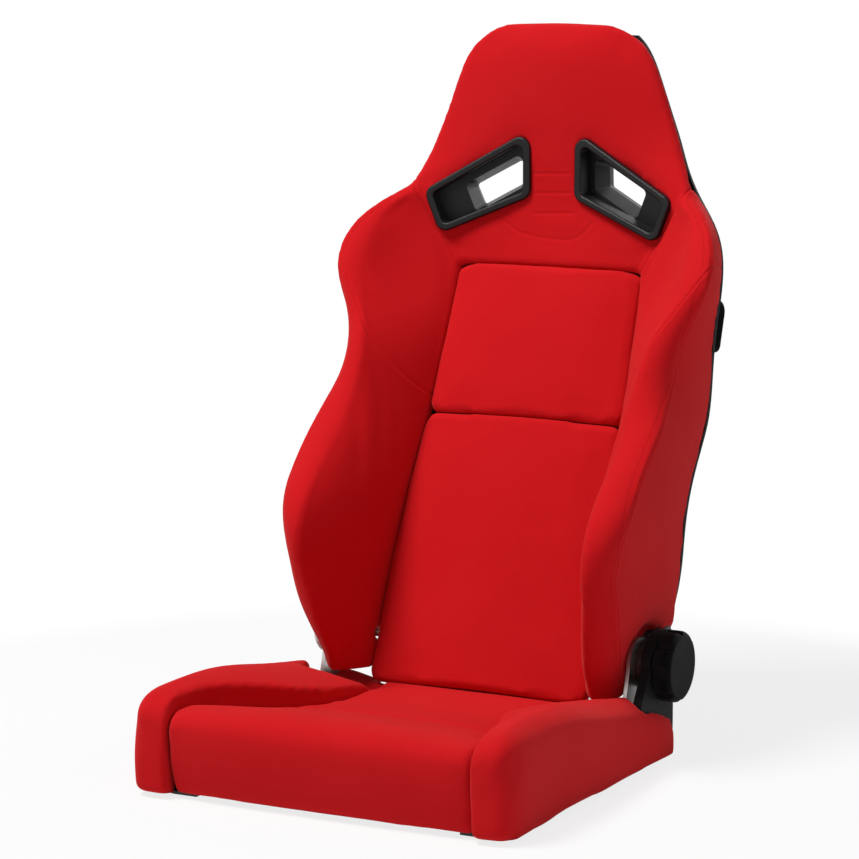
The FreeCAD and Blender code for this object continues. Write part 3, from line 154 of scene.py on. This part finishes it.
def mouldGrainGroup():
    # Leather-like moulding grain with a broad soft mottle.
    group, given, out = newGroup("mouldGrain", [("Grain", 900.0)], ["Height", "Mottle"])
    place = group.nodes.new("ShaderNodeTexCoord")
    cells = group.nodes.new("ShaderNodeTexVoronoi")
    cells.feature = "DISTANCE_TO_EDGE"
    group.links.new(place.outputs["Object"], cells.inputs["Vector"])
    group.links.new(given.outputs["Grain"], cells.inputs["Scale"])
    height = mathNode(group, "MINIMUM", mathNode(group, "MULTIPLY", cells.outputs["Distance"], 3.0), 1.0)
    group.links.new(height, out.inputs["Height"])
    group.links.new(noiseNode(group, place.outputs["Object"], 16.0, 4.0), out.inputs["Mottle"])
    return group


def rubbedGroup():
    # Where handling and wear show: convex edges broken up by noise, and dust that gathers in corners.
    group, given, out = newGroup("rubbed", [("Edge", 0.52), ("Spread", 14.0)], ["Worn", "Dusty"])
    place = group.nodes.new("ShaderNodeTexCoord")
    geometry = group.nodes.new("ShaderNodeNewGeometry")
    point = geometry.outputs["Pointiness"]
    breakUp = noiseNode(group, place.outputs["Object"], 160.0, 4.0, 0.6)
    over = mathNode(group, "SUBTRACT", point, given.outputs["Edge"])
    rim = mathNode(group, "MULTIPLY", over, given.outputs["Spread"], True)
    group.links.new(mathNode(group, "MULTIPLY", rim, breakUp, True), out.inputs["Worn"])
    low = mathNode(group, "MULTIPLY", mathNode(group, "SUBTRACT", 0.48, point), 9.0, True)
    speckle = noiseNode(group, place.outputs["Object"], 45.0, 3.0)
    group.links.new(mathNode(group, "MULTIPLY", low, speckle), out.inputs["Dusty"])
    return group


clothKnit = knitGroup()
mouldGrain = mouldGrainGroup()
rubbed = rubbedGroup()


def placeGroup(tree, group, **values):
    node = tree.nodes.new("ShaderNodeGroup")
    node.node_tree = group
    for name, value in values.items():
        node.inputs[name].default_value = value
    return node


def mixColour(tree, factor, first, second):
    node = tree.nodes.new("ShaderNodeMix")
    node.data_type = "RGBA"
    tree.links.new(factor, node.inputs["Factor"])
    for socket, value in ((node.inputs["A"], first), (node.inputs["B"], second)):
        if isinstance(value, tuple):
            socket.default_value = (*value, 1.0)
        else:
            tree.links.new(value, socket)
    return node.outputs["Result"]


def bumpInto(tree, shader, height, strength, distance):
    node = tree.nodes.new("ShaderNodeBump")
    node.inputs["Strength"].default_value = strength
    node.inputs["Distance"].default_value = distance
    tree.links.new(height, node.inputs["Height"])
    tree.links.new(node.outputs["Normal"], shader.inputs["Normal"])


seatCloth = {
    "red": (0.66, 0.0070, 0.0110), "deepRed": (0.50, 0.0036, 0.0064), "paleRed": (0.78, 0.020, 0.024),
    "pitch": 620.0, "fuzz": 0.4, "bump": 0.32, "roughness": 0.88, "specular": 0.12,
    "sheen": 0.16, "sheenRoughness": 0.40, "sheenTint": (1.0, 0.34, 0.30, 1.0),
}


def clothMaterial(name, tone=1.0):
    material, tree, shader = newMaterial(name)
    weave = placeGroup(tree, clothKnit, Pitch=seatCloth["pitch"], Fuzz=seatCloth["fuzz"])
    wear = placeGroup(tree, rubbed, Edge=0.51, Spread=9.0)
    shades = [tuple(part * tone for part in seatCloth[key]) for key in ("red", "deepRed", "paleRed")]
    red, deepRed, paleRed = shades
    ground = mixColour(tree, weave.outputs["Shade"], deepRed, red)
    nap = mathNode(tree, "MULTIPLY", mathNode(tree, "SUBTRACT", weave.outputs["Nap"], 0.45), 1.4, True)
    ground = mixColour(tree, mathNode(tree, "MULTIPLY", nap, 0.30), ground, paleRed)
    ground = mixColour(tree, mathNode(tree, "MULTIPLY", wear.outputs["Worn"], 0.35), ground, paleRed)
    tree.links.new(ground, shader.inputs["Base Color"])
    shader.inputs["Roughness"].default_value = seatCloth["roughness"]
    shader.inputs["Specular IOR Level"].default_value = seatCloth["specular"]
    shader.inputs["Sheen Weight"].default_value = seatCloth["sheen"]
    shader.inputs["Sheen Roughness"].default_value = seatCloth["sheenRoughness"]
    shader.inputs["Sheen Tint"].default_value = seatCloth["sheenTint"]
    bumpInto(tree, shader, weave.outputs["Height"], seatCloth["bump"], 0.0009)
    return material


def plasticMaterial(name, colour, roughness, grain, bump, shine=0.2, worn=(0.045, 0.045, 0.048)):
    material, tree, shader = newMaterial(name)
    skin = placeGroup(tree, mouldGrain, Grain=grain)
    wear = placeGroup(tree, rubbed)
    ground = mixColour(tree, mathNode(tree, "MULTIPLY", wear.outputs["Worn"], 0.4), colour, worn)
    dust = mathNode(tree, "MULTIPLY", wear.outputs["Dusty"], 0.10)
    ground = mixColour(tree, dust, ground, (0.06, 0.055, 0.05))
    tree.links.new(ground, shader.inputs["Base Color"])
    mottle = mathNode(tree, "MULTIPLY", mathNode(tree, "SUBTRACT", skin.outputs["Mottle"], 0.5), 0.22)
    tree.links.new(mathNode(tree, "ADD", mottle, roughness), shader.inputs["Roughness"])
    shader.inputs["Specular IOR Level"].default_value = shine
    bumpInto(tree, shader, skin.outputs["Height"], bump, 0.0004)
    return material


def metalMaterial(name, colour, roughness, streak, dull):
    material, tree, shader = newMaterial(name)
    place = tree.nodes.new("ShaderNodeTexCoord")
    wear = placeGroup(tree, rubbed)
    mottle = noiseNode(tree, place.outputs["Object"], 60.0, 5.0, 0.62)
    ground = mixColour(tree, mottle, colour, tuple(0.72 * part for part in colour))
    dust = mathNode(tree, "MULTIPLY", wear.outputs["Dusty"], dull)
    ground = mixColour(tree, dust, ground, (0.20, 0.18, 0.16))
    tree.links.new(ground, shader.inputs["Base Color"])
    shader.inputs["Metallic"].default_value = 1.0
    rough = mathNode(tree, "MULTIPLY", mathNode(tree, "SUBTRACT", mottle, 0.5), 0.35)
    tree.links.new(mathNode(tree, "ADD", rough, roughness), shader.inputs["Roughness"])
    bumpInto(tree, shader, noiseNode(tree, place.outputs["Object"], streak, 3.0, 0.7), 0.10, 0.0003)
    return material


def paintedMaterial(name, colour, roughness, shine=0.3):
    material, tree, shader = newMaterial(name)
    place = tree.nodes.new("ShaderNodeTexCoord")
    wear = placeGroup(tree, rubbed, Edge=0.56, Spread=18.0)
    bare = mathNode(tree, "MULTIPLY", wear.outputs["Worn"], 0.5)
    dust = mathNode(tree, "MULTIPLY", wear.outputs["Dusty"], 0.3)
    ground = mixColour(tree, bare, colour, (0.22, 0.21, 0.20))
    ground = mixColour(tree, dust, ground, (0.10, 0.09, 0.085))
    tree.links.new(ground, shader.inputs["Base Color"])
    peel = noiseNode(tree, place.outputs["Object"], 420.0, 2.0)
    uneven = mathNode(tree, "MULTIPLY", peel, 0.12)
    tree.links.new(mathNode(tree, "ADD", uneven, roughness), shader.inputs["Roughness"])
    tree.links.new(mathNode(tree, "MULTIPLY", wear.outputs["Worn"], 0.6), shader.inputs["Metallic"])
    shader.inputs["Specular IOR Level"].default_value = shine
    bumpInto(tree, shader, peel, 0.16, 0.0003)
    return material


finish = {
    "seat_fabric": clothMaterial("redKnit"),
    "shell_plastic": plasticMaterial("grainedShell", (0.0075, 0.0075, 0.0080), 0.52, 620.0, 0.45),
    "trim_plastic": plasticMaterial("satinTrim", (0.0024, 0.0024, 0.0027), 0.50, 1500.0, 0.16, shine=0.03),
    "frame_steel": paintedMaterial("blackEnamel", (0.010, 0.010, 0.011), 0.36),
    "zinc_steel": metalMaterial("zincPlate", (0.62, 0.62, 0.60), 0.34, 900.0, 0.5),
    "spring_steel": metalMaterial("springWire", (0.36, 0.36, 0.37), 0.30, 700.0, 0.4),
}
threadRed = clothMaterial("stitchThread", 0.85)
guideBlack = plasticMaterial("guideBlack", (0.0045, 0.0045, 0.0052), 0.36, 1900.0, 0.22, shine=0.26)
hingeBlack = paintedMaterial("hingeBlack", (0.0040, 0.0040, 0.0044), 0.42, shine=0.12)

blackHinge = ("recliner_gear_disc_right", "recliner_arm_right", "upper_arm_right", "recliner_housing_right")
slots = {row["node"]: row["material_slot"] for row in frame["record"]["subparts"]}
for name, node in nodes.items():
    node.data.materials.clear()
    node.data.materials.append(finish[slots[name]])
    if name.startswith("belt_guide"):
        node.data.materials[0] = guideBlack
    if name in blackHinge:
        node.data.materials[0] = hingeBlack
print("materials:", len(bpy.data.materials))


# Mesh helpers.

def coordsOf(mesh):
    flat = np.empty(len(mesh.vertices) * 3, np.float32)
    mesh.vertices.foreach_get("co", flat)
    return flat.reshape(-1, 3).astype(float)


def normalsOf(mesh):
    flat = np.empty(len(mesh.vertices) * 3, np.float32)
    mesh.vertex_normals.foreach_get("vector", flat)
    return flat.reshape(-1, 3).astype(float)


def setCoords(mesh, coords):
    mesh.vertices.foreach_set("co", np.asarray(coords, np.float32).ravel())
    mesh.update()


def edgesOf(mesh):
    flat = np.empty(len(mesh.edges) * 2, np.int32)
    mesh.edges.foreach_get("vertices", flat)
    return flat.reshape(-1, 2)


def smoothed(coords, edges, times, share=0.5):
    count = np.bincount(edges.ravel(), minlength=len(coords))[:, None]
    for _ in range(times):
        total = np.zeros_like(coords)
        np.add.at(total, edges[:, 0], coords[edges[:, 1]])
        np.add.at(total, edges[:, 1], coords[edges[:, 0]])
        coords = coords + share * (total / np.maximum(count, 1) - coords)
    return coords


def bakeModifiers(item):
    depsgraph = bpy.context.evaluated_depsgraph_get()
    mesh = bpy.data.meshes.new_from_object(item.evaluated_get(depsgraph))
    old = item.data
    item.modifiers.clear()
    item.data = mesh
    bpy.data.meshes.remove(old)
    return item


def smoothFaces(mesh):
    mesh.polygons.foreach_set("use_smooth", np.ones(len(mesh.polygons), bool))
    mesh.update()


def treeOf(mesh):
    return BVHTree.FromPolygons([v.co for v in mesh.vertices], [p.vertices for p in mesh.polygons])


def throughPoints(points, step=0.0012):
    # Smooth line through the points, sampled evenly.
    knots = [Vector(p) * mm for p in points]
    knots = [knots[0] * 2 - knots[1], *knots, knots[-1] * 2 - knots[-2]]
    line = []
    for a, b, c, e in zip(knots, knots[1:], knots[2:], knots[3:]):
        count = max(2, int((c - b).length / step))
        for i in range(count):
            t = i / count
            line.append(0.5 * ((2 * b) + (c - a) * t + (2 * a - 5 * b + 4 * c - e) * t * t
                               + (3 * b - a - 3 * c + e) * t ** 3))
    line.append(knots[-2])
    return line


def onSkin(tree, line, reach=0.012):
    # The parts of a line that lie near a skin, moved onto it, with the skin's normals.
    found = []
    for p in line:
        place, normal, _, distance = tree.find_nearest(p, reach)
        if place is not None:
            found.append((place, normal))
    return found


# Sewn pads.

# Lines sewn into the pads, in millimetres on the seat's right side; +X is the side of the knob.
wingCorner = [(208, 191, 80), (212, 196, 86), (215, 195, 100), (216, 192, 110), (224, 174, 146),
              (232, 151, 186), (235, 140, 220), (236, 131, 256), (247, 140, 316), (249, 184, 376),
              (246, 255, 436), (239, 310, 496), (250, 322, 546), (272, 332, 606), (266, 358, 656),
              (237, 394, 690), (217, 417, 704)]
wingTopStitch = [(x - 11, y - 3, z) for x, y, z in wingCorner]
neckLines = [
    [(-30, 438, 729), (-4, 438, 730), (22, 438, 731)],
    [(-30, 438, 703), (-3, 438, 704), (24, 438, 705)],
    [(-26, 437, 676), (2, 437, 677.5), (30, 437, 679)],
    [(-74, 438, 668), (-60, 438, 657), (-44, 437, 649), (-10, 437, 643.5), (27, 437, 642.5),
     (46, 437, 652), (60, 438, 667)],
]
rollCrease = [(-150, -16, 88), (-100, -14, 86), (0, -12, 86), (100, -14, 86), (150, -16, 88)]

# Seams between panels run where an upright plane meets the skin: place along |x|, height, and slope there.
wingSeam = {"x": 0.170, "z": 0.474, "slope": 1.5}
neckSeam = {"x": 0.137, "z": 0.607, "slope": 1 / 0.60}


def leftOf(points):
    return [(-x, y, z) for x, y, z in points]


def crease(path, depth, width):
    return {"path": path, "depth": depth * mm, "width": width * mm}


pads = {
    "cushion_centre": {
        "nodes": ["cushion_centre_pad"], "body": "seat_base", "fill": 0.7, "swell": 2.4, "voxel": 0.0055,
        "creases": [crease(rollCrease, 2.2, 9.0)], "rows": []},
    "cushion_side_left": {
        "nodes": ["cushion_bolster_left"], "body": "seat_base", "fill": 0.75, "swell": 2.0, "voxel": 0.005,
        "creases": [], "rows": []},
    "cushion_side_right": {
        "nodes": ["cushion_bolster_right"], "body": "seat_base", "fill": 0.75, "swell": 2.0, "voxel": 0.005,
        "creases": [], "rows": []},
    "back_insert_lower": {
        "nodes": ["back_pad_lower"], "body": "backrest", "fill": 0.7, "swell": 2.4, "voxel": 0.0055,
        "creases": [], "rows": []},
    "back_insert_upper": {
        "nodes": ["back_pad_upper"], "body": "backrest", "fill": 0.7, "swell": 2.4, "voxel": 0.0055,
        "creases": [], "rows": []},
    "wing_and_head_cover": {
        "nodes": ["back_bolster_left", "shoulder_bolster_left", "headrest_pad", "shoulder_bolster_right",
                  "back_bolster_right"],
        "body": "backrest", "fill": 0.8, "swell": 2.2, "voxel": 0.005,
        "creases": [crease(wingSeam, 1.5, 1.7), crease(neckSeam, 1.5, 1.7),
                    crease(wingCorner, 1.1, 1.8), crease(leftOf(wingCorner), 1.1, 1.8),
                    *[crease(line, 0.9, 2.6) for line in neckLines]],
        "rows": [wingTopStitch, leftOf(wingTopStitch)]},
}

clothStuff = {
    "quality": 4, "mass": 0.3, "tension_stiffness": 20, "compression_stiffness": 20, "shear_stiffness": 8,
    "bending_stiffness": 1.0, "use_pressure": True, "pin_stiffness": 1.0,
}

making = {
    "shrink": 1.4, "pressure": 4.0, "frames": 20, "grip": 6.0, "seamGrip": 5.0, "touch": 2.5,
    "ease": 14, "fineWithin": 5.0, "rowDepth": 0.5, "rowWidth": 1.3, "fitWithin": 2.0, "waver": 0.35,
    "letOut": 2.2,
}


def joinedMesh(name, names):
    bm = bmesh.new()
    for node in names:
        bm.from_mesh(nodes[node].data)
    mesh = bpy.data.meshes.new(name)
    bm.to_mesh(mesh)
    bm.free()
    return mesh


def blankFrom(name, spec):
    # An even skin over the CAD solids, brought back onto them wherever they are smooth.
    source = joinedMesh(name + "_source", spec["nodes"])
    item = bpy.data.objects.new(name, source.copy())
    bpy.context.scene.collection.objects.link(item)
    remesh = item.modifiers.new("even", "REMESH")
    remesh.mode = "VOXEL"
    remesh.voxel_size = spec["voxel"]
    bakeModifiers(item)
    mesh = item.data
    edges = edgesOf(mesh)
    coords = smoothed(coordsOf(mesh), edges, 6)
    setCoords(mesh, coords)
    facing = normalsOf(mesh)
    skin = treeOf(source)
    move = np.zeros_like(coords)
    for i, co in enumerate(coords):
        place, normal, _, distance = skin.find_nearest(Vector(co))
        if distance < making["fitWithin"] * mm and normal.dot(Vector(facing[i])) > 0.75:
            move[i] = np.array(place) - co
    setCoords(mesh, coords + smoothed(move, edges, 3))
    smoothFaces(mesh)
    bpy.data.meshes.remove(source)
    return item


def distanceTo(coords, samples, reach):
    # How far each point is from a sampled line, up to reach.
    away = np.full(len(coords), reach)
    if not samples:
        return away
    low = np.min(samples, axis=0) - reach
    high = np.max(samples, axis=0) + reach
    tree = KDTree(len(samples))
    for i, p in enumerate(samples):
        tree.insert(p, i)
    tree.balance()
    for i in np.where(((coords > low) & (coords < high)).all(1))[0]:
        away[i] = min(reach, tree.find(Vector(coords[i]))[2])
    return away


def creaseDistance(coords, path, skin, reach):
    if isinstance(path, dict):
        rise = coords[:, 2] - path["z"] - path["slope"] * (np.abs(coords[:, 0]) - path["x"])
        away = np.abs(rise) / math.hypot(1, path["slope"])
        behind = coords[:, 1] > 0.245 + 0.33 * coords[:, 2]
        return np.where(behind & (np.abs(coords[:, 0]) < 0.19), reach, np.minimum(away, reach))
    return distanceTo(coords, [p for p, _ in onSkin(skin, throughPoints(path))], reach)


def gripOf(item, name, spec):
    # 1 where a neighbour or a seam holds the cloth, falling to 0 away from them.
    coords = coordsOf(item.data)
    low, high = coords.min(0) - 0.01, coords.max(0) + 0.01
    reach = making["grip"] * mm
    near = np.full(len(coords), reach)
    for node, other in nodes.items():
        if node in spec["nodes"]:
            continue
        a, b = (np.array(v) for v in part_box(node))
        if (a > high).any() or (b < low).any():
            continue
        inside = np.where(((coords > a - reach) & (coords < b + reach)).all(1))[0]
        for i in inside:
            hit, place, _, _ = other.closest_point_on_mesh(Vector(coords[i]), distance=reach)
            if hit:
                near[i] = min(near[i], (place - Vector(coords[i])).length)
    touch = making["touch"] * mm
    held = 1.0 - np.clip((near - touch) / (reach - touch), 0, 1)
    skin = treeOf(item.data)
    seamReach = making["seamGrip"] * mm
    for seam in spec["creases"]:
        away = creaseDistance(coords, seam["path"], skin, seamReach)
        held = np.maximum(held, 1.0 - away / seamReach)
    return held


def fillCloth(items, grips):
    # All pads are blown up together, each held along its seams and where it meets a neighbour.
    scene = bpy.context.scene
    starts = {}
    for name, item in items.items():
        mesh = item.data
        held = grips[name]
        coords = coordsOf(mesh)
        coords -= normalsOf(mesh) * (making["shrink"] * mm * (1 - held))[:, None]
        setCoords(mesh, coords)
        starts[name] = coords
        group = item.vertex_groups.new(name="held")
        for level in range(1, 11):
            picked = np.where(np.round(held * 10) == level)[0]
            if len(picked):
                group.add(picked.tolist(), level / 10, "REPLACE")
        cloth = item.modifiers.new("cloth", "CLOTH")
        for key, value in clothStuff.items():
            setattr(cloth.settings, key, value)
        cloth.settings.uniform_pressure_force = making["pressure"]
        cloth.settings.effector_weights.gravity = 0
        cloth.settings.vertex_group_mass = "held"
        cloth.collision_settings.use_collision = False
        cloth.point_cache.frame_start = 1
        cloth.point_cache.frame_end = making["frames"]
    for step in range(1, making["frames"] + 1):
        scene.frame_set(step)
    depsgraph = bpy.context.evaluated_depsgraph_get()
    for name, item in items.items():
        blown = coordsOf(item.evaluated_get(depsgraph).data)
        item.modifiers.clear()
        item.vertex_groups.clear()
        move = blown - starts[name]
        size = np.linalg.norm(move, axis=1)
        cap = pads[name]["swell"] * mm + 0.0002
        move *= np.minimum(1, cap / np.maximum(size, 1e-9))[:, None]
        move = smoothed(move, edgesOf(item.data), making["ease"])
        setCoords(item.data, starts[name] + move * (1 - grips[name])[:, None])
    scene.frame_set(1)


def refineNear(mesh, close):
    # Halves the faces along seams, so that a narrow groove keeps its form.
    bm = bmesh.new()
    bm.from_mesh(mesh)
    bm.verts.ensure_lookup_table()
    edges = [e for e in bm.edges if close[e.verts[0].index] and close[e.verts[1].index]]
    bmesh.ops.subdivide_edges(bm, edges=edges, cuts=1, use_grid_fill=True)
    bm.to_mesh(mesh)
    bm.free()


def pressCreases(mesh, creases, skin):
    # Presses a rounded groove into the skin along each crease.
    facing = normalsOf(mesh)
    coords = coordsOf(mesh)
    sunk = np.zeros(len(coords))
    for seam in creases:
        away = creaseDistance(coords, seam["path"], skin, 3 * seam["width"])
        sunk = np.maximum(sunk, seam["depth"] * np.exp(-(away / seam["width"]) ** 2))
    setCoords(mesh, coords - facing * sunk[:, None])


stitchSize = {"length": 3.4, "pitch": 5.2, "radius": 0.42, "lift": 0.12, "sides": 6}


def stitchRow(name, line, skin, body):
    # Short rounded threads laid end to end along a seam.
    found = onSkin(skin, throughPoints(line, 0.0006), 0.009)
    if len(found) < 20:
        return None
    bm = bmesh.new()
    travelled, nextStart = 0.0, 0.0
    pitch, length = stitchSize["pitch"] * mm, stitchSize["length"] * mm
    for (a, normal), (b, _) in zip(found, found[1:]):
        gap = (b - a).length
        if gap > 0.004:
            continue
        travelled += gap
        if travelled < nextStart or gap < 1e-7:
            continue
        nextStart = travelled + pitch
        along = (b - a).normalized()
        normal = (normal - along * normal.dot(along)).normalized()
        side = along.cross(normal)
        rings = []
        for t, radius in ((0.0, 0.35), (0.12, 0.85), (0.3, 1.0), (0.7, 1.0), (0.88, 0.85), (1.0, 0.35)):
            lift = (stitchSize["lift"] - 0.5 * (2 * t - 1) ** 2) * mm
            centre = a + along * (t - 0.5) * length + normal * lift
            ring = []
            for k in range(stitchSize["sides"]):
                turn = 2 * math.pi * k / stitchSize["sides"]
                spread = radius * stitchSize["radius"] * mm
                ring.append(bm.verts.new(centre + (side * math.cos(turn) + normal * math.sin(turn)) * spread))
            rings.append(ring)
        for low, high in zip(rings, rings[1:]):
            for k in range(len(low)):
                bm.faces.new((low[k], low[k - 1], high[k - 1], high[k]))
        bm.faces.new(rings[0])
        bm.faces.new(list(reversed(rings[-1])))
    mesh = bpy.data.meshes.new(name)
    bm.normal_update()
    bm.to_mesh(mesh)
    bm.free()
    smoothFaces(mesh)
    mesh.materials.append(threadRed)
    item = bpy.data.objects.new(name, mesh)
    bpy.context.scene.collection.objects.link(item)
    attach(item, body)
    return item


def waver(mesh, amount):
    # The slight unevenness of foam under cloth.
    coords = coordsOf(mesh)
    waves = np.zeros(len(coords))
    for k in range(6):
        direction = rng.normal(size=3)
        direction /= np.linalg.norm(direction)
        waves += np.sin(coords @ direction * rng.uniform(35, 95) + rng.uniform(0, 6.28))
    coords += normalsOf(mesh) * (amount * mm * waves / 3)[:, None]
    setCoords(mesh, coords)


def letOut(mesh, amount):
    # The sides of an insert press against the wings, so the slit between them closes.
    coords, facing = coordsOf(mesh), normalsOf(mesh)
    coords[:, 0] += np.sign(facing[:, 0]) * amount * mm * np.clip((np.abs(facing[:, 0]) - 0.5) / 0.4, 0, 1)
    setCoords(mesh, coords)


hem = {"drop": 4.0, "below": 30.0, "forward": -60.0, "fade": 60.0, "floor": 1.2}


def wrapUnder(mesh):
    # The cloth at the front of a cushion side reaches a little lower than its foam, over the frame's corner.
    coords = coordsOf(mesh)
    low = np.clip(1 - coords[:, 2] / (hem["below"] * mm), 0, 1)
    ahead = np.clip((hem["forward"] * mm - coords[:, 1]) / (hem["fade"] * mm), 0, 1)
    coords[:, 2] -= hem["drop"] * mm * low * ahead
    coords[:, 2] = np.maximum(coords[:, 2], hem["floor"] * mm)
    setCoords(mesh, coords)


def finishPad(name, item, spec):
    waver(item.data, making["waver"])
    if "insert" in name:
        letOut(item.data, making["letOut"])
    if "cushion_side" in name:
        wrapUnder(item.data)
    surface = item.modifiers.new("finer", "SUBSURF")
    surface.levels = surface.render_levels = 1
    bakeModifiers(item)
    skin = treeOf(item.data)
    creases = spec["creases"] + [crease(row, making["rowDepth"], making["rowWidth"]) for row in spec["rows"]]
    if creases:
        coords = coordsOf(item.data)
        reach = making["fineWithin"] * mm
        narrow = [seam for seam in creases if seam["width"] < reach * 0.8]
        away = [creaseDistance(coords, seam["path"], skin, reach) for seam in narrow]
        if away:
            refineNear(item.data, np.min(away, axis=0) < reach * 0.99)
        pressCreases(item.data, creases, skin)
    smoothFaces(item.data)
    item.data.materials.append(finish["seat_fabric"])
    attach(item, spec["body"])
    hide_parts(*spec["nodes"])
    skin = treeOf(item.data)
    for i, row in enumerate(spec["rows"]):
        stitchRow("stitches_%s_%d" % (name, i + 1), row, skin, spec["body"])


def makePads():
    items = {name: blankFrom(name, spec) for name, spec in pads.items()}
    print("pads: blanks,", sum(len(item.data.vertices) for item in items.values()), "points")
    grips = {name: gripOf(item, name, pads[name]) for name, item in items.items()}
    print("pads: held")
    fillCloth(items, grips)
    print("pads: filled")
    for name, item in items.items():
        finishPad(name, item, pads[name])
    print("pads: sewn")


makePads()


# Floor, light and camera.

stage = {"floor": 9.0, "fadeFrom": 0.40, "fadeTo": 1.0, "white": 0.80, "grey": 0.80, "sky": 0.12}


def seenDirectly(tree):
    # 1 for what the camera sees itself, in a reflection or through glass.
    path = tree.nodes.new("ShaderNodeLightPath")
    seen = mathNode(tree, "MAXIMUM", path.outputs["Is Camera Ray"], path.outputs["Is Glossy Ray"])
    return mathNode(tree, "MAXIMUM", seen, path.outputs["Is Transmission Ray"])


def makeFloor():
    mesh = bpy.data.meshes.new("floor")
    bm = bmesh.new()
    bmesh.ops.create_circle(bm, cap_ends=True, segments=96, radius=stage["floor"])
    bm.to_mesh(mesh)
    bm.free()
    floor = bpy.data.objects.new("floor", mesh)
    bpy.context.scene.collection.objects.link(floor)
    floor.location = (0, 0.1, cadBox[0][2] - 0.0005)
    material, tree, shader = newMaterial("paleFloor")
    shader.inputs["Base Color"].default_value = (stage["grey"], stage["grey"], stage["grey"], 1)
    shader.inputs["Roughness"].default_value = 0.9
    shader.inputs["Specular IOR Level"].default_value = 0.1
    place = tree.nodes.new("ShaderNodeTexCoord")
    length = tree.nodes.new("ShaderNodeVectorMath")
    length.operation = "LENGTH"
    tree.links.new(place.outputs["Object"], length.inputs[0])
    beyond = mathNode(tree, "SUBTRACT", length.outputs["Value"], stage["fadeFrom"])
    fade = mathNode(tree, "DIVIDE", beyond, stage["fadeTo"] - stage["fadeFrom"], True)
    glow = tree.nodes.new("ShaderNodeEmission")
    mix = tree.nodes.new("ShaderNodeMixShader")
    white = mathNode(tree, "MAXIMUM", fade, stage["white"])
    tree.links.new(mathNode(tree, "MULTIPLY", white, seenDirectly(tree)), mix.inputs[0])
    tree.links.new(shader.outputs[0], mix.inputs[1])
    tree.links.new(glow.outputs[0], mix.inputs[2])
    tree.links.new(mix.outputs[0], tree.nodes["Material Output"].inputs["Surface"])
    mesh.materials.append(material)


lamps = {
    "keyHigh": {"place": (-1.5, -1.5, 4.5), "size": 1.6, "power": 232.0},
    "fillRight": {"place": (3.0, -0.9, 1.5), "size": 2.2, "power": 14.0},
    "back": {"place": (0.8, 2.8, 1.9), "size": 2.0, "power": 20.0},
}
aim = Vector((0, 0.2, 0.45))


def makeLamps():
    for name, spec in lamps.items():
        light = bpy.data.lights.new(name, "AREA")
        light.energy = spec["power"]
        light.size = spec["size"]
        item = bpy.data.objects.new(name, light)
        item.location = spec["place"]
        item.rotation_euler = (aim - Vector(spec["place"])).to_track_quat("-Z", "Y").to_euler()
        bpy.context.scene.collection.objects.link(item)


def makeWorld():
    world = bpy.data.worlds.new("studio")
    bpy.context.scene.world = world
    world.use_nodes = True
    tree = world.node_tree
    soft = tree.nodes["Background"]
    soft.inputs["Color"].default_value = (1, 1, 1, 1)
    soft.inputs["Strength"].default_value = stage["sky"]
    white = tree.nodes.new("ShaderNodeBackground")
    white.inputs["Color"].default_value = (1, 1, 1, 1)
    white.inputs["Strength"].default_value = 1.0
    mix = tree.nodes.new("ShaderNodeMixShader")
    tree.links.new(seenDirectly(tree), mix.inputs[0])
    tree.links.new(soft.outputs[0], mix.inputs[1])
    tree.links.new(white.outputs[0], mix.inputs[2])
    tree.links.new(mix.outputs[0], tree.nodes["World Output"].inputs["Surface"])


view = {"place": (1.8779, -3.5418, 1.0797), "turn": 27.4, "dip": 9.0, "lens": 3280.8 / 859 * 36}


def makeCamera():
    turn, dip = math.radians(view["turn"]), math.radians(view["dip"])
    back = Vector((math.sin(turn) * math.cos(dip), -math.cos(turn) * math.cos(dip), math.sin(dip)))
    data = bpy.data.cameras.new("camera")
    data.sensor_width = 36
    data.lens = view["lens"]
    camera = bpy.data.objects.new("camera", data)
    camera.location = view["place"]
    camera.rotation_mode = "QUATERNION"
    camera.rotation_quaternion = (-back).to_track_quat("-Z", "Y")
    bpy.context.scene.collection.objects.link(camera)
    bpy.context.scene.camera = camera


makeFloor()
makeLamps()
makeWorld()
makeCamera()
bpy.context.scene.view_settings.view_transform = "Standard"
print("stage: set")
